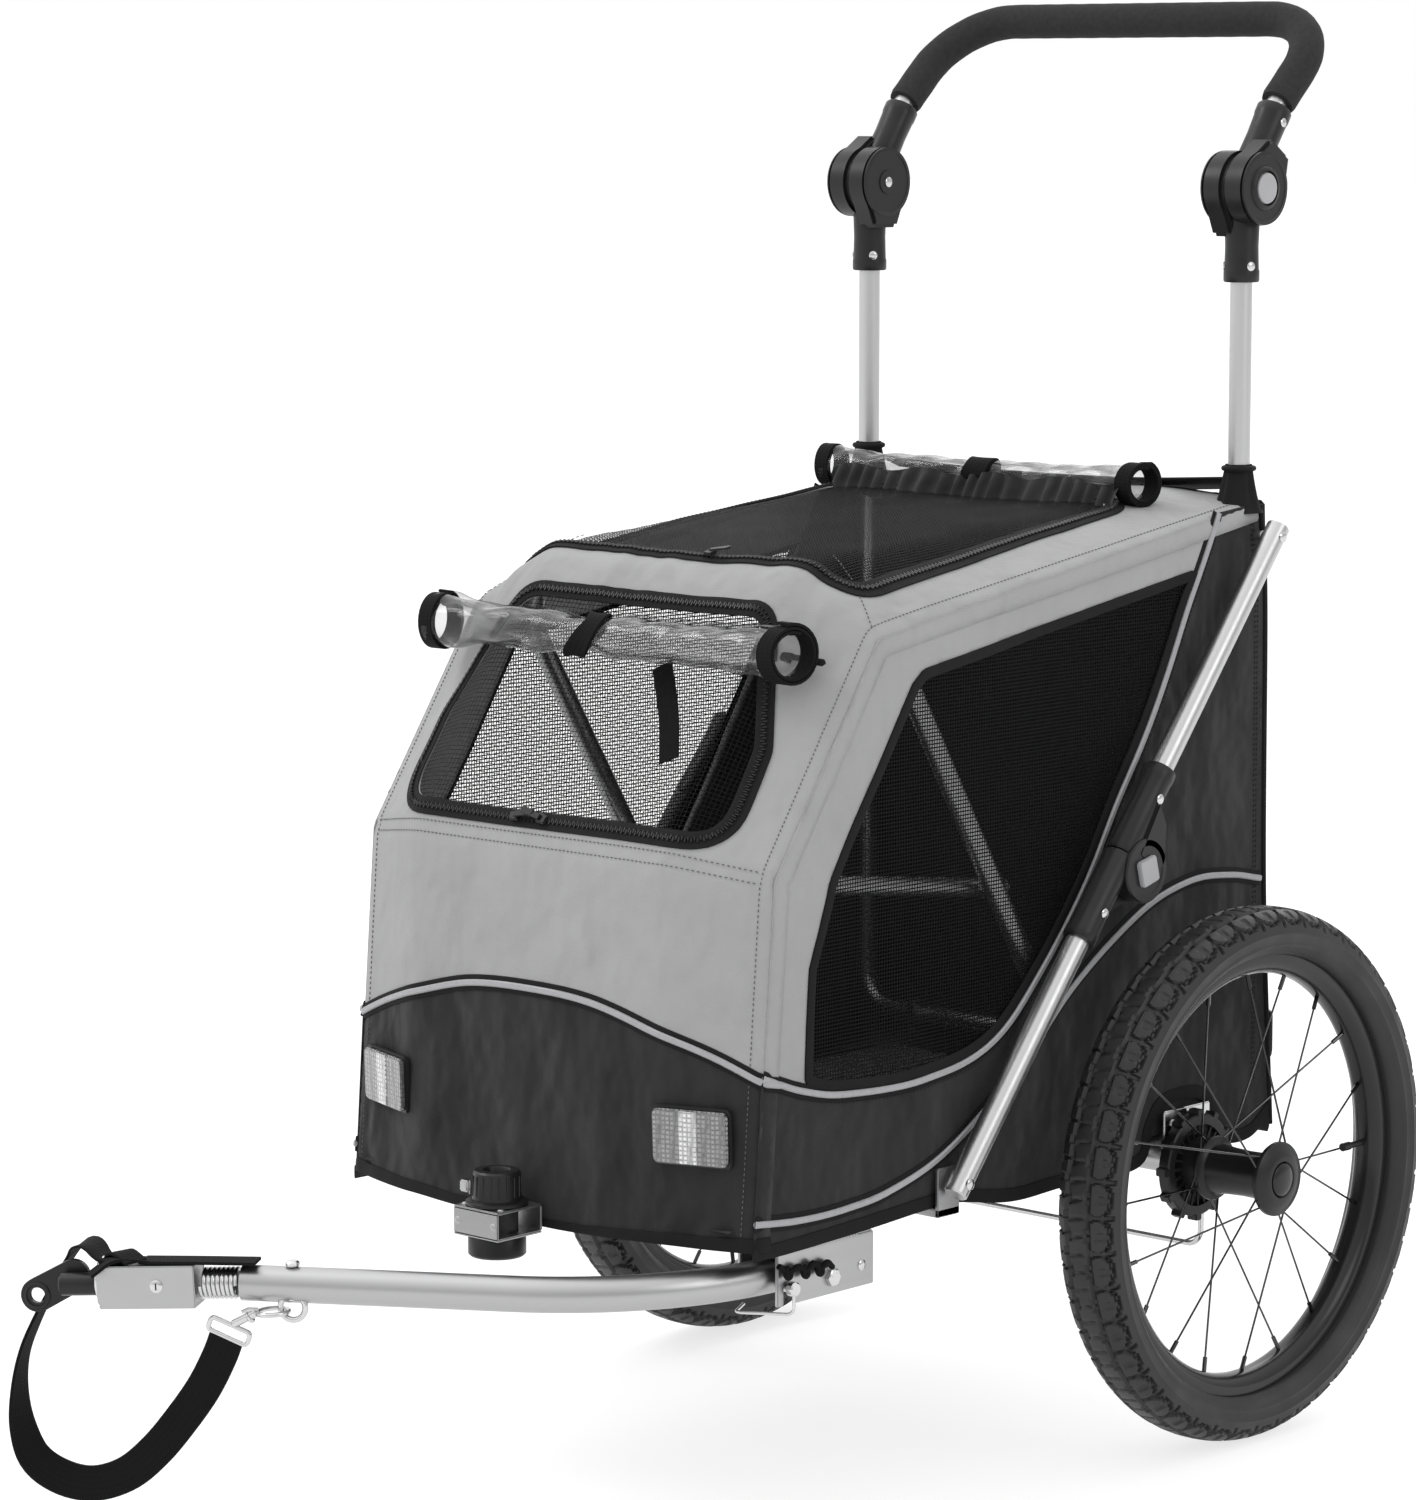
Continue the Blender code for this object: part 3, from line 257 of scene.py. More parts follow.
def netting(name, pitch, thread):
    """Open mesh: see-through square holes between threads, given as a share of the pitch. UVs in metres."""
    shade = Shade(name, (0.004, 0.004, 0.004), 0.65)
    split = shade.node("ShaderNodeSeparateXYZ")
    shade.link(shade.uv(), split.inputs[0])
    gates = []
    for axis in ("X", "Y"):
        turns = shade.math("DIVIDE", split.outputs[axis], pitch)
        part = shade.math("FRACT", turns)
        offset = shade.math("ABSOLUTE", shade.math("SUBTRACT", part, 0.5))
        gates.append(shade.math("LESS_THAN", offset, thread / 2))
    shade.alpha(shade.math("MAXIMUM", *gates))
    shade.tint(shade.noise(60.0), 0.7, 1.5)
    shade.set("Specular IOR Level", 0.08)
    return shade.material


def clear_vinyl():
    """Soft clear film: see-through and glossy, with a little haze; its dark colour, denser towards grazing
    angles, is partly the film's own faint tint and partly painted dark reflection.
    """
    shade = Shade("clear_vinyl", (0.045, 0.046, 0.047), 0.05)
    # Dark colour made more opaque towards grazing angles: painted dark reflection along the film's edges,
    # over a faint real tint face-on.
    edge = shade.node("ShaderNodeLayerWeight").outputs["Facing"]
    shade.alpha(shade.remap(shade.math("POWER", edge, 2.6), 0.16, 0.88, 0.0, 0.8))
    shade.set("Coat Weight", 1.0)
    shade.set("Coat Roughness", 0.03)
    shade.set("Specular IOR Level", 0.9)
    shade.bump(shade.noise(1.0, 1.5, shade.stretched((9.0, 40.0, 40.0))), 0.6, 0.008)
    return shade.material


def brushed(name, colour, roughness, along):
    """Anodised tube: fine scratches along its length."""
    shade = Shade(name, colour, roughness, 1.0)
    stretch = [260.0, 260.0, 260.0]
    stretch["XYZ".index(along)] = 4.0
    grain = shade.noise(1.0, 2.0, shade.stretched(stretch))
    shade.roughen(grain, roughness * 0.94, roughness * 1.08)
    shade.tint(shade.noise(14.0), 0.96, 1.03)
    return shade.material


def bright_steel(name, tone):
    """Plated steel, from bright to nearly black."""
    shade = Shade(name, (tone, tone, tone * 1.01), 0.20, 1.0)
    shade.roughen(shade.noise(90.0, 4.0), 0.16, 0.28)
    shade.tint(shade.noise(30.0), 0.92, 1.03)
    return shade.material


def moulded(name, colour, roughness=0.42, grain=900.0, strength=0.10):
    """Injection-moulded plastic with a fine spark-eroded texture."""
    shade = Shade(name, colour, roughness)
    speckle = shade.noise(grain, 2.0)
    shade.bump(speckle, strength, 0.0004)
    shade.roughen(shade.noise(40.0, 4.0), roughness * 0.88, roughness * 1.15)
    shade.tint(shade.noise(25.0), 0.9, 1.12)
    shade.set("Specular IOR Level", 0.32)
    return shade.material


def rubber(name, colour, roughness):
    """Tyre rubber: fine grain and dusty patches."""
    shade = Shade(name, colour, roughness)
    shade.bump(shade.noise(420.0, 3.0), 0.20, 0.0005)
    shade.roughen(shade.noise(35.0, 5.0), roughness * 0.85, roughness * 1.15)
    shade.tint(shade.noise(18.0, 6.0), 0.75, 1.35)
    return shade.material


def foam():
    """Closed-cell grip foam: fine pores and a matt, slightly dusty surface."""
    shade = Shade("grip_foam", (0.024, 0.024, 0.025), 0.88)
    shade.bump(shade.noise(700.0, 4.0, roughness=0.7), 0.55, 0.0006)
    shade.tint(shade.noise(250.0, 4.0), 0.7, 1.5)
    shade.set("Specular IOR Level", 0.2)
    return shade.material


def webbing(name, colour):
    """Woven strap with ribs across it. Uses UVs in metres, U along the strap."""
    ribs = 1500.0
    shade = Shade(name, colour, 0.85)
    along = shade.wave(ribs / math.tau / 2, "X", shade.uv())
    across = shade.wave(ribs / math.tau / 3, "Y", shade.uv())
    threads = shade.math("MULTIPLY", along, across)
    shade.bump(threads, 0.5, 0.0004)
    ribbed = shade.math("MULTIPLY", threads, 0.6)
    mottle = shade.math("MULTIPLY", shade.noise(60.0), 0.4)
    shade.tint(shade.math("ADD", ribbed, mottle), 0.75, 1.5)
    shade.set("Specular IOR Level", 0.15)
    return shade.material


def reflective_tape():
    """Silver-grey retroreflective piping."""
    shade = Shade("reflective_tape", (0.33, 0.33, 0.34), 0.45, 0.15)
    shade.tint(shade.noise(300.0, 3.0), 0.85, 1.15)
    shade.bump(shade.noise(900.0), 0.2, 0.0003)
    return shade.material


def prismatic(name, tone):
    """Moulded reflector lens: rows of small corner cubes under a clear face."""
    shade = Shade(name, (tone, tone, tone * 1.01), 0.16, 0.45)
    cells = shade.node("ShaderNodeTexVoronoi", feature="F1", distance="CHEBYCHEV")
    cells.inputs["Scale"].default_value = 300.0
    cells.inputs["Randomness"].default_value = 0.15
    shade.link(shade.place, cells.inputs["Vector"])
    shade.tint(shade.remap(cells.outputs["Distance"], 0.0, 1.0, 0.1, 0.55), 1.7, 0.45)
    shade.bump(cells.outputs["Distance"], 0.8, 0.002)
    shade.set("Coat Weight", 1.0)
    shade.set("Coat Roughness", 0.05)
    return shade.material


def build_materials():
    """Each look by name: its material and the slot it usually fills."""
    return {
        "light": (woven("light_cloth", (0.330, 0.330, 0.333), contrast=0.05, sheen=0.0),
                  "light_fabric"),
        "dark": (
            woven("dark_cloth", (0.020, 0.020, 0.021), contrast=0.22, sheen=0.05, wrinkles=1.7),
            "dark_fabric",
        ),
        "binding": (
            woven("black_binding", (0.006, 0.006, 0.006), contrast=0.3, sheen=0.0, wrinkles=0.3),
            "webbing",
        ),
        "net": (netting("side_netting", 0.0027, 0.36), "mesh"),
        "front_net": (netting("front_netting", 0.0036, 0.13), "mesh"),
        "vinyl": (clear_vinyl(), "clear_film"),
        "tube": (brushed("brushed_tube", (0.52, 0.52, 0.525), 0.34, "Z"), "aluminium"),
        "tow_tube": (brushed("brushed_tow_tube", (0.44, 0.44, 0.445), 0.36, "Y"), "aluminium"),
        "sheet_metal": (brushed("brushed_sheet", (0.44, 0.44, 0.445), 0.36, "Y"), "aluminium"),
        "steel": (bright_steel("plated_steel", 0.62), "steel"),
        "spoke": (bright_steel("dark_spoke_steel", 0.075), "steel"),
        "plastic": (moulded("black_moulding", (0.011, 0.011, 0.012), 0.36), "black_plastic"),
        "grey_plastic": (moulded("grey_moulding", (0.36, 0.36, 0.37), 0.45), "grey_plastic"),
        "gloss": (moulded("satin_rim", (0.014, 0.014, 0.015), 0.22, 300.0, 0.03), "rim"),
        "tyre": (rubber("tyre_rubber", (0.010, 0.010, 0.0105), 0.50), "tyre"),
        "foam": (foam(), "foam"),
        "webbing": (webbing("black_webbing", (0.0055, 0.0055, 0.0058)), "webbing"),
        "tape": (reflective_tape(), "reflector"),
        "lens": (prismatic("prismatic_lens", 0.20), "reflector"),
        # A brighter copy of the lens, used as a painted highlight strip on each reflector.
        "painted_lens_highlight": (prismatic("prismatic_lens_painted_highlight", 0.52), "reflector"),
        "cushion": (woven("cushion_cloth", (0.055, 0.055, 0.058), contrast=0.2), "cushion"),
        "board": (moulded("floor_panel", (0.05, 0.05, 0.05), 0.6), "board"),
        "thread": (plain_material("seam_thread", (0.10, 0.10, 0.10), 0.8), "light_fabric"),
        "dark_thread": (plain_material("dark_seam_thread", (0.012, 0.012, 0.012), 0.8), "dark_fabric"),
    }


# ---------------------------------------------------------------- mesh helpers
def put(name, verts, faces, look, body, node=None, uvs=None, sharp=40.0):
    """Make one piece from points measured from the axle, and ride it on its body in a node's place."""
    material, usual_slot = LOOK[look]
    mesh = bpy.data.meshes.new(name)
    mesh.from_pydata([(v[0], v[1] + AXLE_Y, v[2]) for v in verts], [], [tuple(f) for f in faces])
    mesh.validate()
    if uvs is not None:
        layer = mesh.uv_layers.new(name="UVMap")
        for loop in mesh.loops:
            layer.data[loop.index].uv = uvs[loop.vertex_index]
    mesh.materials.append(material)
    mesh.shade_smooth()
    mesh.set_sharp_from_angle(angle=math.radians(sharp))
    made = bpy.data.objects.new(name, mesh)
    bpy.context.collection.objects.link(made)
    if node:
        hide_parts(node)
    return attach(made, body)


class Soup:
    """Points and faces gathered from several shapes into one piece."""

    def __init__(self, *shapes):
        self.verts = []
        self.faces = []
        self.uvs = []
        self.add(*shapes)

    def add(self, *shapes):
        """Add shapes, each given as its points, its faces and, where it has them, its UVs."""
        for verts, faces, *uvs in shapes:
            start = len(self.verts)
            self.verts.extend(Vector(v) for v in verts)
            self.faces.extend(tuple(start + i for i in face) for face in faces)
            self.uvs.extend(uvs[0] if uvs else [(0.0, 0.0)] * (len(self.verts) - start))

    def put(self, name, look, body, node=None, sharp=40.0, slot=None):
        return put(name, self.verts, self.faces, look, body, node, self.uvs, sharp)

    def lay(self, name, look, node=None, sharp=40.0, slot=None):
        """Put a piece of the cabin on the trailer body and add it to the soft pieces."""
        made = self.put(name, look, "trailer", node, sharp, slot)
        SOFT.append(made)
        return made


def basis(direction):
    """Unit vector along a direction and two more at right angles to it."""
    along = Vector(direction).normalized()
    guide = Vector((0, 0, 1)) if abs(along.z) < 0.95 else Vector((0, 1, 0))
    across = guide.cross(along).normalized()
    return along, across, along.cross(across)


def circle(centre, u, v, radius, count):
    """Evenly spaced points of a circle in the plane of u and v."""
    turns = [math.tau * k / count for k in range(count)]
    return [centre + radius * (math.cos(turn) * u + math.sin(turn) * v) for turn in turns]


def tangents(points, closed=False):
    """Unit direction of travel at each point of a path."""
    last = len(points) - 1
    found = []
    for i, point in enumerate(points):
        before = points[i - 1] if i or closed else point
        after = points[(i + 1) % len(points)] if i < last or closed else point
        found.append((after - before).normalized())
    return found


def path_frames(path, closed=False):
    """Each path point with two cross vectors, carried along without twisting."""
    points = [Vector(p) for p in path]
    frames = []
    across = None
    for point, tangent in zip(points, tangents(points, closed)):
        if across is None:
            across, over = basis(tangent)[1:]
        else:
            across = (across - tangent * across.dot(tangent)).normalized()
            over = tangent.cross(across)
        frames.append((point, across, over))
    return frames


def skin(rings, closed=False, caps=True):
    """Verts and faces of a skin over equal rings of points."""
    count = len(rings[0])
    verts = [p for ring in rings for p in ring]
    faces = []
    total = len(rings)
    for r in range(total if closed else total - 1):
        low, high = r * count, ((r + 1) % total) * count
        for i in range(count):
            j = (i + 1) % count
            faces.append((low + i, low + j, high + j, high + i))
    if caps and not closed:
        faces.append(tuple(reversed(range(count))))
        faces.append(tuple(range((total - 1) * count, total * count)))
    return verts, faces


def tube(path, radius, sides=20, closed=False):
    """Round bar along a path; radius may be a function of the fraction along it."""
    frames = path_frames(path, closed)
    rings = []
    for i, (point, across, over) in enumerate(frames):
        size = radius(i / (len(frames) - 1)) if callable(radius) else radius
        rings.append(circle(point, across, over, size, sides))
    return skin(rings, closed)


def lathe(profile, centre, axis, steps=48, closed=False):
    """Turned shape from a profile of (distance along the axis, radius) points."""
    along, across, over = basis(axis)
    centre = Vector(centre)
    rings = []
    for i in range(steps):
        angle = math.tau * i / steps
        outward = math.cos(angle) * across + math.sin(angle) * over
        rings.append([centre + along * height + outward * radius for height, radius in profile])
    count = len(profile)
    verts = [p for ring in rings for p in ring]
    faces = []
    for r in range(steps):
        low, high = r * count, ((r + 1) % steps) * count
        for i in range(count if closed else count - 1):
            j = (i + 1) % count
            faces.append((low + i, high + i, high + j, low + j))
    return verts, faces


def slab(outline, thickness, place, bevel=0.0008):
    """Flat plate with softened edges: outline in the place matrix's XY plane, thick along its Z."""
    bm = bmesh.new()
    base = [bm.verts.new((x, y, 0)) for x, y in outline]
    face = bm.faces.new(base)
    top = bmesh.ops.extrude_face_region(bm, geom=[face])["geom"]
    raised = [v for v in top if isinstance(v, bmesh.types.BMVert)]
    bmesh.ops.translate(bm, vec=(0, 0, thickness), verts=raised)
    bmesh.ops.recalc_face_normals(bm, faces=bm.faces)
    if bevel:
        edges = [e for e in bm.edges if e.calc_face_angle(0) > 0.5]
        bmesh.ops.bevel(bm, geom=edges, offset=bevel, segments=2, affect="EDGES", clamp_overlap=True)
    bm.verts.index_update()
    verts = [place @ v.co for v in bm.verts]
    faces = [[v.index for v in f.verts] for f in bm.faces]
    bm.free()
    return verts, faces


def cuboid(low, high, bevel=0.0008):
    """Axis-aligned block with softened edges."""
    low, high = Vector(low), Vector(high)
    outline = [(low.x, low.y), (high.x, low.y), (high.x, high.y), (low.x, high.y)]
    return slab(outline, high.z - low.z, Matrix.Translation((0, 0, low.z)), bevel)


def fillet(points, radius, steps=8):
    """Replace each inner corner of a path by an arc of the given radius."""
    points = [Vector(p) for p in points]
    path = [points[0]]
    for before, corner, after in zip(points, points[1:], points[2:]):
        back = (before - corner).normalized()
        ahead = (after - corner).normalized()
        half = back.angle(ahead) / 2
        centre = corner + (back + ahead).normalized() * radius / math.sin(half)
        reach = radius / math.tan(half)
        start = corner + back * reach - centre
        end = corner + ahead * reach - centre
        sweep = start.angle(end)
        for i in range(steps + 1):
            t = i / steps
            weight_a = math.sin((1 - t) * sweep) / math.sin(sweep)
            weight_b = math.sin(t * sweep) / math.sin(sweep)
            path.append(centre + weight_a * start + weight_b * end)
    path.append(points[-1])
    return path


def smooth_curve(points, step, closed=False):
    """Evenly spaced points on a smooth curve through the given ones, of any dimension."""
    points = np.array(points, dtype=float)
    if closed:
        padded = np.vstack([points[-1], points, points[0], points[1]])
    else:
        padded = np.vstack([2 * points[0] - points[1], points, 2 * points[-1] - points[-2]])
    t = np.linspace(0, 1, 16, endpoint=False)[:, None]
    dense = []
    for p0, p1, p2, p3 in zip(padded, padded[1:], padded[2:], padded[3:]):
        dense.append(0.5 * (2 * p1 + (p2 - p0) * t + (2 * p0 - 5 * p1 + 4 * p2 - p3) * t ** 2
                            + (3 * p1 - p0 - 3 * p2 + p3) * t ** 3))
    dense = np.vstack(dense + [padded[-2][None]])
    return resample(dense, step, closed)


def resample(points, step, closed=False):
    """Evenly spaced points along a polyline."""
    points = np.array(points, dtype=float)
    lengths = np.concatenate([[0], np.cumsum(np.linalg.norm(np.diff(points, axis=0), axis=1))])
    count = max(2, int(round(lengths[-1] / step)) + 1)
    targets = np.linspace(0, lengths[-1], count)
    out = np.stack([np.interp(targets, lengths, points[:, k]) for k in range(points.shape[1])], axis=1)
    return out[:-1] if closed else out


def rounded_outline(points, radii, step):
    """Closed outline with each corner rounded by its own radius, as evenly spaced 2-D points."""
    points = [Vector((x, y)) for x, y in points]
    dense = []
    count = len(points)
    for i, corner in enumerate(points):
        radius = radii[i] if hasattr(radii, "__len__") else radii
        back = (points[i - 1] - corner).normalized()
        ahead = (points[(i + 1) % count] - corner).normalized()
        half = back.angle(ahead) / 2
        reach = radius / math.tan(half)
        start, end = corner + back * reach, corner + ahead * reach
        for k in range(9):
            t = k / 8
            dense.append(tuple((1 - t) ** 2 * start + 2 * t * (1 - t) * corner + t * t * end))
    dense.append(dense[0])
    return resample(dense, step, closed=True)


# ---------------------------------------------------------------- cabin surfaces
HALF_WIDTH = 0.200
KINK_X = 0.125
WRAP_START = 0.1935
WRAP_RADIUS = 0.0055
WRAP_END = WRAP_START + WRAP_RADIUS * math.pi / 2 + 0.009
SEAM_B, RIDGE_B, REAR_B = 0.274, 0.505, 0.948
MIDDLE_B = np.array([0.0, SEAM_B, RIDGE_B, 0.560, 0.840, REAR_B])
MIDDLE_Y = np.array([-0.4985, -0.484, -0.354, -0.300, -0.020, 0.088])
MIDDLE_Z = np.array([0.203, 0.477, 0.667, 0.6765, 0.694, 0.6985])
EDGE_B = np.array([0.0, SEAM_B, RIDGE_B, REAR_B])
EDGE_Y = np.array([-0.4775, -0.456, -0.349, 0.086])
EDGE_Z = np.array([0.203, 0.466, 0.623, 0.6925])


def ripple(points, seed, count, shortest, longest, amplitude):
    """Soft random undulation: a sum of sine waves in seeded directions, in metres."""
    random = np.random.default_rng(seed)
    total = np.zeros(len(points))
    for _ in range(count):
        direction = random.normal(size=3)
        direction /= np.linalg.norm(direction)
        length = shortest + (longest - shortest) * random.random() ** 1.5
        phase = random.random() * math.tau
        total += amplitude * (length / longest) * np.sin(points @ direction * math.tau / length + phase)
    return total / math.sqrt(count)


def ramp(value, low, high):
    """Smooth step from 0 at low to 1 at high."""
    t = np.clip((value - low) / (high - low), 0, 1)
    return t * t * (3 - 2 * t)


def softened(xs, ys, at, reach):
    """Linear interpolation whose corners are rounded over the reach."""
    offsets = np.linspace(-reach, reach, 7)
    weights = 1 - np.abs(offsets) / (reach * 1.15)
    total = sum(w * np.interp(at + o, xs, ys) for o, w in zip(offsets, weights))
    return total / weights.sum()


class Chart:
    """A surface given by a function of two coordinates, with its outward normal."""

    def __init__(self, base, relief):
        self.base = base
        self.relief = relief

    def normals(self, ab):
        step = 0.0008
        da = self.base(ab + [step, 0]) - self.base(ab - [step, 0])
        db = self.base(ab + [0, step]) - self.base(ab - [0, step])
        normal = np.cross(da, db)
        return normal / np.maximum(np.linalg.norm(normal, axis=1, keepdims=True), 1e-12)

    def points(self, ab, lift=0.0):
        ab = np.array(ab, dtype=float).reshape(-1, 2)
        base = self.base(ab)
        offset = self.relief(ab, base) + lift
        return base + self.normals(ab) * np.reshape(offset, (-1, 1))


def nose_base(ab):
    """Front, slope and roof: a is the distance across, b the distance along the middle profile."""
    a, b = ab[:, 0], ab[:, 1]
    side = np.sign(a)
    across = np.abs(a)
    flat = np.minimum(across, WRAP_START)
    middle = [softened(MIDDLE_B, v, b, 0.024) for v in (MIDDLE_Y, MIDDLE_Z)]
    edge = [softened(EDGE_B, v, b, 0.012) for v in (EDGE_Y, EDGE_Z)]
    kink = np.array([0.0, KINK_X, HALF_WIDTH, 0.3])
    mix = softened(kink, np.array([0.0, 0.0, 1.0, 2.333]), flat, 0.012)
    y = middle[0] + (edge[0] - middle[0]) * mix
    z = middle[1] + (edge[1] - middle[1]) * mix
    step = 0.004
    ey = softened(EDGE_B, EDGE_Y, b + step, 0.03) - softened(EDGE_B, EDGE_Y, b - step, 0.03)
    ez = softened(EDGE_B, EDGE_Z, b + step, 0.03) - softened(EDGE_B, EDGE_Z, b - step, 0.03)
    length = np.hypot(ey, ez)
    inward = np.stack([np.zeros_like(a), ez / length, -ey / length], axis=1)
    slope = 1 / (HALF_WIDTH - KINK_X)
    tangent = np.stack([np.ones_like(a), (edge[0] - middle[0]) * slope, (edge[1] - middle[1]) * slope],
                       axis=1)
    tangent /= np.linalg.norm(tangent, axis=1, keepdims=True)
    beyond = np.maximum(across - WRAP_START, 0)
    angle = np.minimum(beyond / WRAP_RADIUS, math.pi / 2)
    straight = np.maximum(beyond - WRAP_RADIUS * math.pi / 2, 0)
    out = np.stack([flat, y, z], axis=1)
    out += WRAP_RADIUS * np.sin(angle)[:, None] * tangent
    out += (WRAP_RADIUS * (1 - np.cos(angle)) + straight)[:, None] * inward
    out[:, 0] *= np.where(side == 0, 1, side)
    return out


def nose_relief(ab, base):
    """Soft wrinkles, gathers along the ridge and a seam that pulls in."""
    a, b = ab[:, 0], ab[:, 1]
    calm = ramp(WRAP_START - np.abs(a), 0.0, 0.03)
    value = ripple(base, 11, 14, 0.05, 0.19, 0.0016) * calm
    gathers = np.sin(a * 210 + 2.4 * np.sin(a * 37 + 1.1)) * 0.5 + np.sin(a * 118 + 0.7) * 0.5
    near_ridge = np.exp(-((b - RIDGE_B + 0.012) / 0.030) ** 2)
    value += 0.0011 * gathers * near_ridge * calm
    folds = np.sin((a + 0.35 * b) * 78 + 1.0) * np.exp(-((b - 0.05) / 0.06) ** 2)
    value += 0.0014 * folds * calm
    value -= 0.0012 * np.exp(-((b - SEAM_B) / 0.0035) ** 2)
    value += 0.0045 * np.exp(-((b - 0.14) / 0.08) ** 2) * ramp(KINK_X - np.abs(a), -0.02, 0.09)
    return value


NOSE = Chart(nose_base, nose_relief)


def edge_distance(points, outline):
    """Distance from 2-D points to a closed outline."""
    best = np.full(len(points), 1e9)
    for start, end in zip(outline, np.roll(outline, -1, axis=0)):
        span = end - start
        t = np.clip(((points - start) @ span) / max(span @ span, 1e-12), 0, 1)
        best = np.minimum(best, np.linalg.norm(points - start - t[:, None] * span, axis=1))
    return best


def inside(points, outline):
    """Which 2-D points lie inside a closed outline."""
    x, y = points[:, 0], points[:, 1]
    result = np.zeros(len(points), dtype=bool)
    for (x0, y0), (x1, y1) in zip(outline, np.roll(outline, -1, axis=0)):
        crosses = (y0 > y) != (y1 > y)
        if y0 != y1:
            result ^= crosses & (x < (x1 - x0) * (y - y0) / (y1 - y0) + x0)
    return result


SIDE_FRAME = np.array([
    (-0.4775, 0.203), (-0.456, 0.466), (-0.349, 0.623), (0.086, 0.6925),
    (0.093, 0.618), (0.097, 0.396), (0.112, 0.203),
])
PIPE_SIDE = [(-0.4685, 0.331), (-0.425, 0.316), (-0.381, 0.308), (-0.300, 0.307), (-0.217, 0.327),
             (-0.127, 0.414), (-0.050, 0.531), (0.004, 0.626), (0.030, 0.674), (0.036, 0.6865)]
PIPE_FRONT = [(-0.2035, 0.128), (-0.164, 0.142), (-0.120, 0.153), (-0.060, 0.167), (0.0, 0.170),
              (0.060, 0.167), (0.120, 0.153), (0.164, 0.142), (0.2035, 0.128)]
STRIPE_SIDE = [(-0.4765, 0.231), (-0.435, 0.227), (-0.380, 0.227), (-0.333, 0.233), (-0.257, 0.259),
               (-0.190, 0.303), (-0.126, 0.354), (-0.052, 0.396), (0.007, 0.413), (0.055, 0.412),
               (0.094, 0.405)]


def side_wall_chart(side):
    """Side wall: a is Y and b is Z."""
    def base(ab):
        x = np.full(len(ab), side * (HALF_WIDTH - 0.0024))
        return np.stack([x, ab[:, 0], ab[:, 1]], axis=1)

    def relief(ab, points):
        calm = ramp(edge_distance(ab, SIDE_FRAME), 0.004, 0.05)
        free = ramp(np.hypot(ab[:, 0], ab[:, 1] - AXLE_Z), 0.05, 0.11)
        soft = ripple(points, 23 if side > 0 else 31, 12, 0.06, 0.20, 0.0017)
        drape = np.sin(ab[:, 0] * 62 - ab[:, 1] * 22 + 0.6) * ramp(0.36 - ab[:, 1], 0.0, 0.14) * 0.0012
        return (soft + drape - 0.0004) * calm * free

    chart = Chart(base, relief)
    chart.normals = lambda ab: np.tile([side, 0.0, 0.0], (len(np.atleast_2d(ab)), 1))
    return chart


def rear_base(ab):
    """Rear wall: a is X and b is Z."""
    z = ab[:, 1]
    y = np.interp(z, [0.203, 0.396, 0.618, 0.698], [0.1115, 0.1005, 0.0975, 0.0935])
    return np.stack([ab[:, 0], y, z], axis=1)


def rear_relief(ab, base):
    """Soft wrinkles that die out towards the corners and the hem."""
    calm = ramp(HALF_WIDTH - np.abs(ab[:, 0]), 0.0, 0.03) * ramp(ab[:, 1], 0.2, 0.24)
    return ripple(base, 47, 10, 0.06, 0.2, 0.0016) * calm


REAR = Chart(rear_base, rear_relief)
REAR.normals = lambda ab: np.tile([0.0, 1.0, 0.0], (len(np.atleast_2d(ab)), 1))


def triangulate(outline, holes, spacing):
    """Triangles that fill an outline less its holes, with an even grid of points inside."""
    loops = [np.array(outline)] + [np.array(h) for h in holes]
    low, high = loops[0].min(axis=0), loops[0].max(axis=0)
    rows = []
    count = int((high[1] - low[1]) / (spacing * 0.866)) + 1
    for i in range(count):
        y = low[1] + spacing * 0.5 + i * spacing * 0.866
        xs = np.arange(low[0] + (0.5 if i % 2 else 0.25) * spacing, high[0], spacing)
        rows.append(np.stack([xs, np.full(len(xs), y)], axis=1))
    grid = np.vstack(rows)
    grid = grid[inside(grid, loops[0])]
    for loop in loops[1:]:
        grid = grid[~inside(grid, loop)]
    for loop in loops:
        grid = grid[edge_distance(grid, loop) > spacing * 0.45]
    points = np.vstack(loops + [grid])
    edges = []
    start = 0
    for loop in loops:
        edges += [(start + i, start + (i + 1) % len(loop)) for i in range(len(loop))]
        start += len(loop)
    coords, _, faces, _, _, _ = delaunay_2d_cdt([Vector(p) for p in points], edges, [], 0, 1e-7)
    coords = np.array([tuple(c) for c in coords])
    faces = np.array([tuple(f) for f in faces])
    centres = coords[faces].mean(axis=1)
    keep = inside(centres, loops[0])
    for loop in loops[1:]:
        keep &= ~inside(centres, loop)
    return coords, faces[keep]


def panel(name, chart, outline, holes, look, node=None, body="trailer", spacing=0.006, lift=0.0,
          thickness=0.0009):
    """Cloth panel cut to an outline on a chart."""
    coords, faces = triangulate(outline, holes, spacing)
    points = chart.points(coords, lift)
    first = faces[0]
    normal = np.cross(points[first[1]] - points[first[0]], points[first[2]] - points[first[0]])
    if normal @ chart.normals(coords[first[:1]])[0] < 0:
        faces = faces[:, ::-1]
    made = put(name, points, faces, look, body, node, coords, 80.0)
    if thickness:
        wall = made.modifiers.new("cloth", "SOLIDIFY")
        wall.thickness = thickness
        wall.offset = -1.0
    if body == "trailer":
        SOFT.append(made)


def netting_panel(name, chart, outline, look, node, lift):
    """One layer of netting in wide triangles, just under the cloth."""
    panel(name, chart, outline, [], look, node, spacing=0.012, lift=lift, thickness=0)


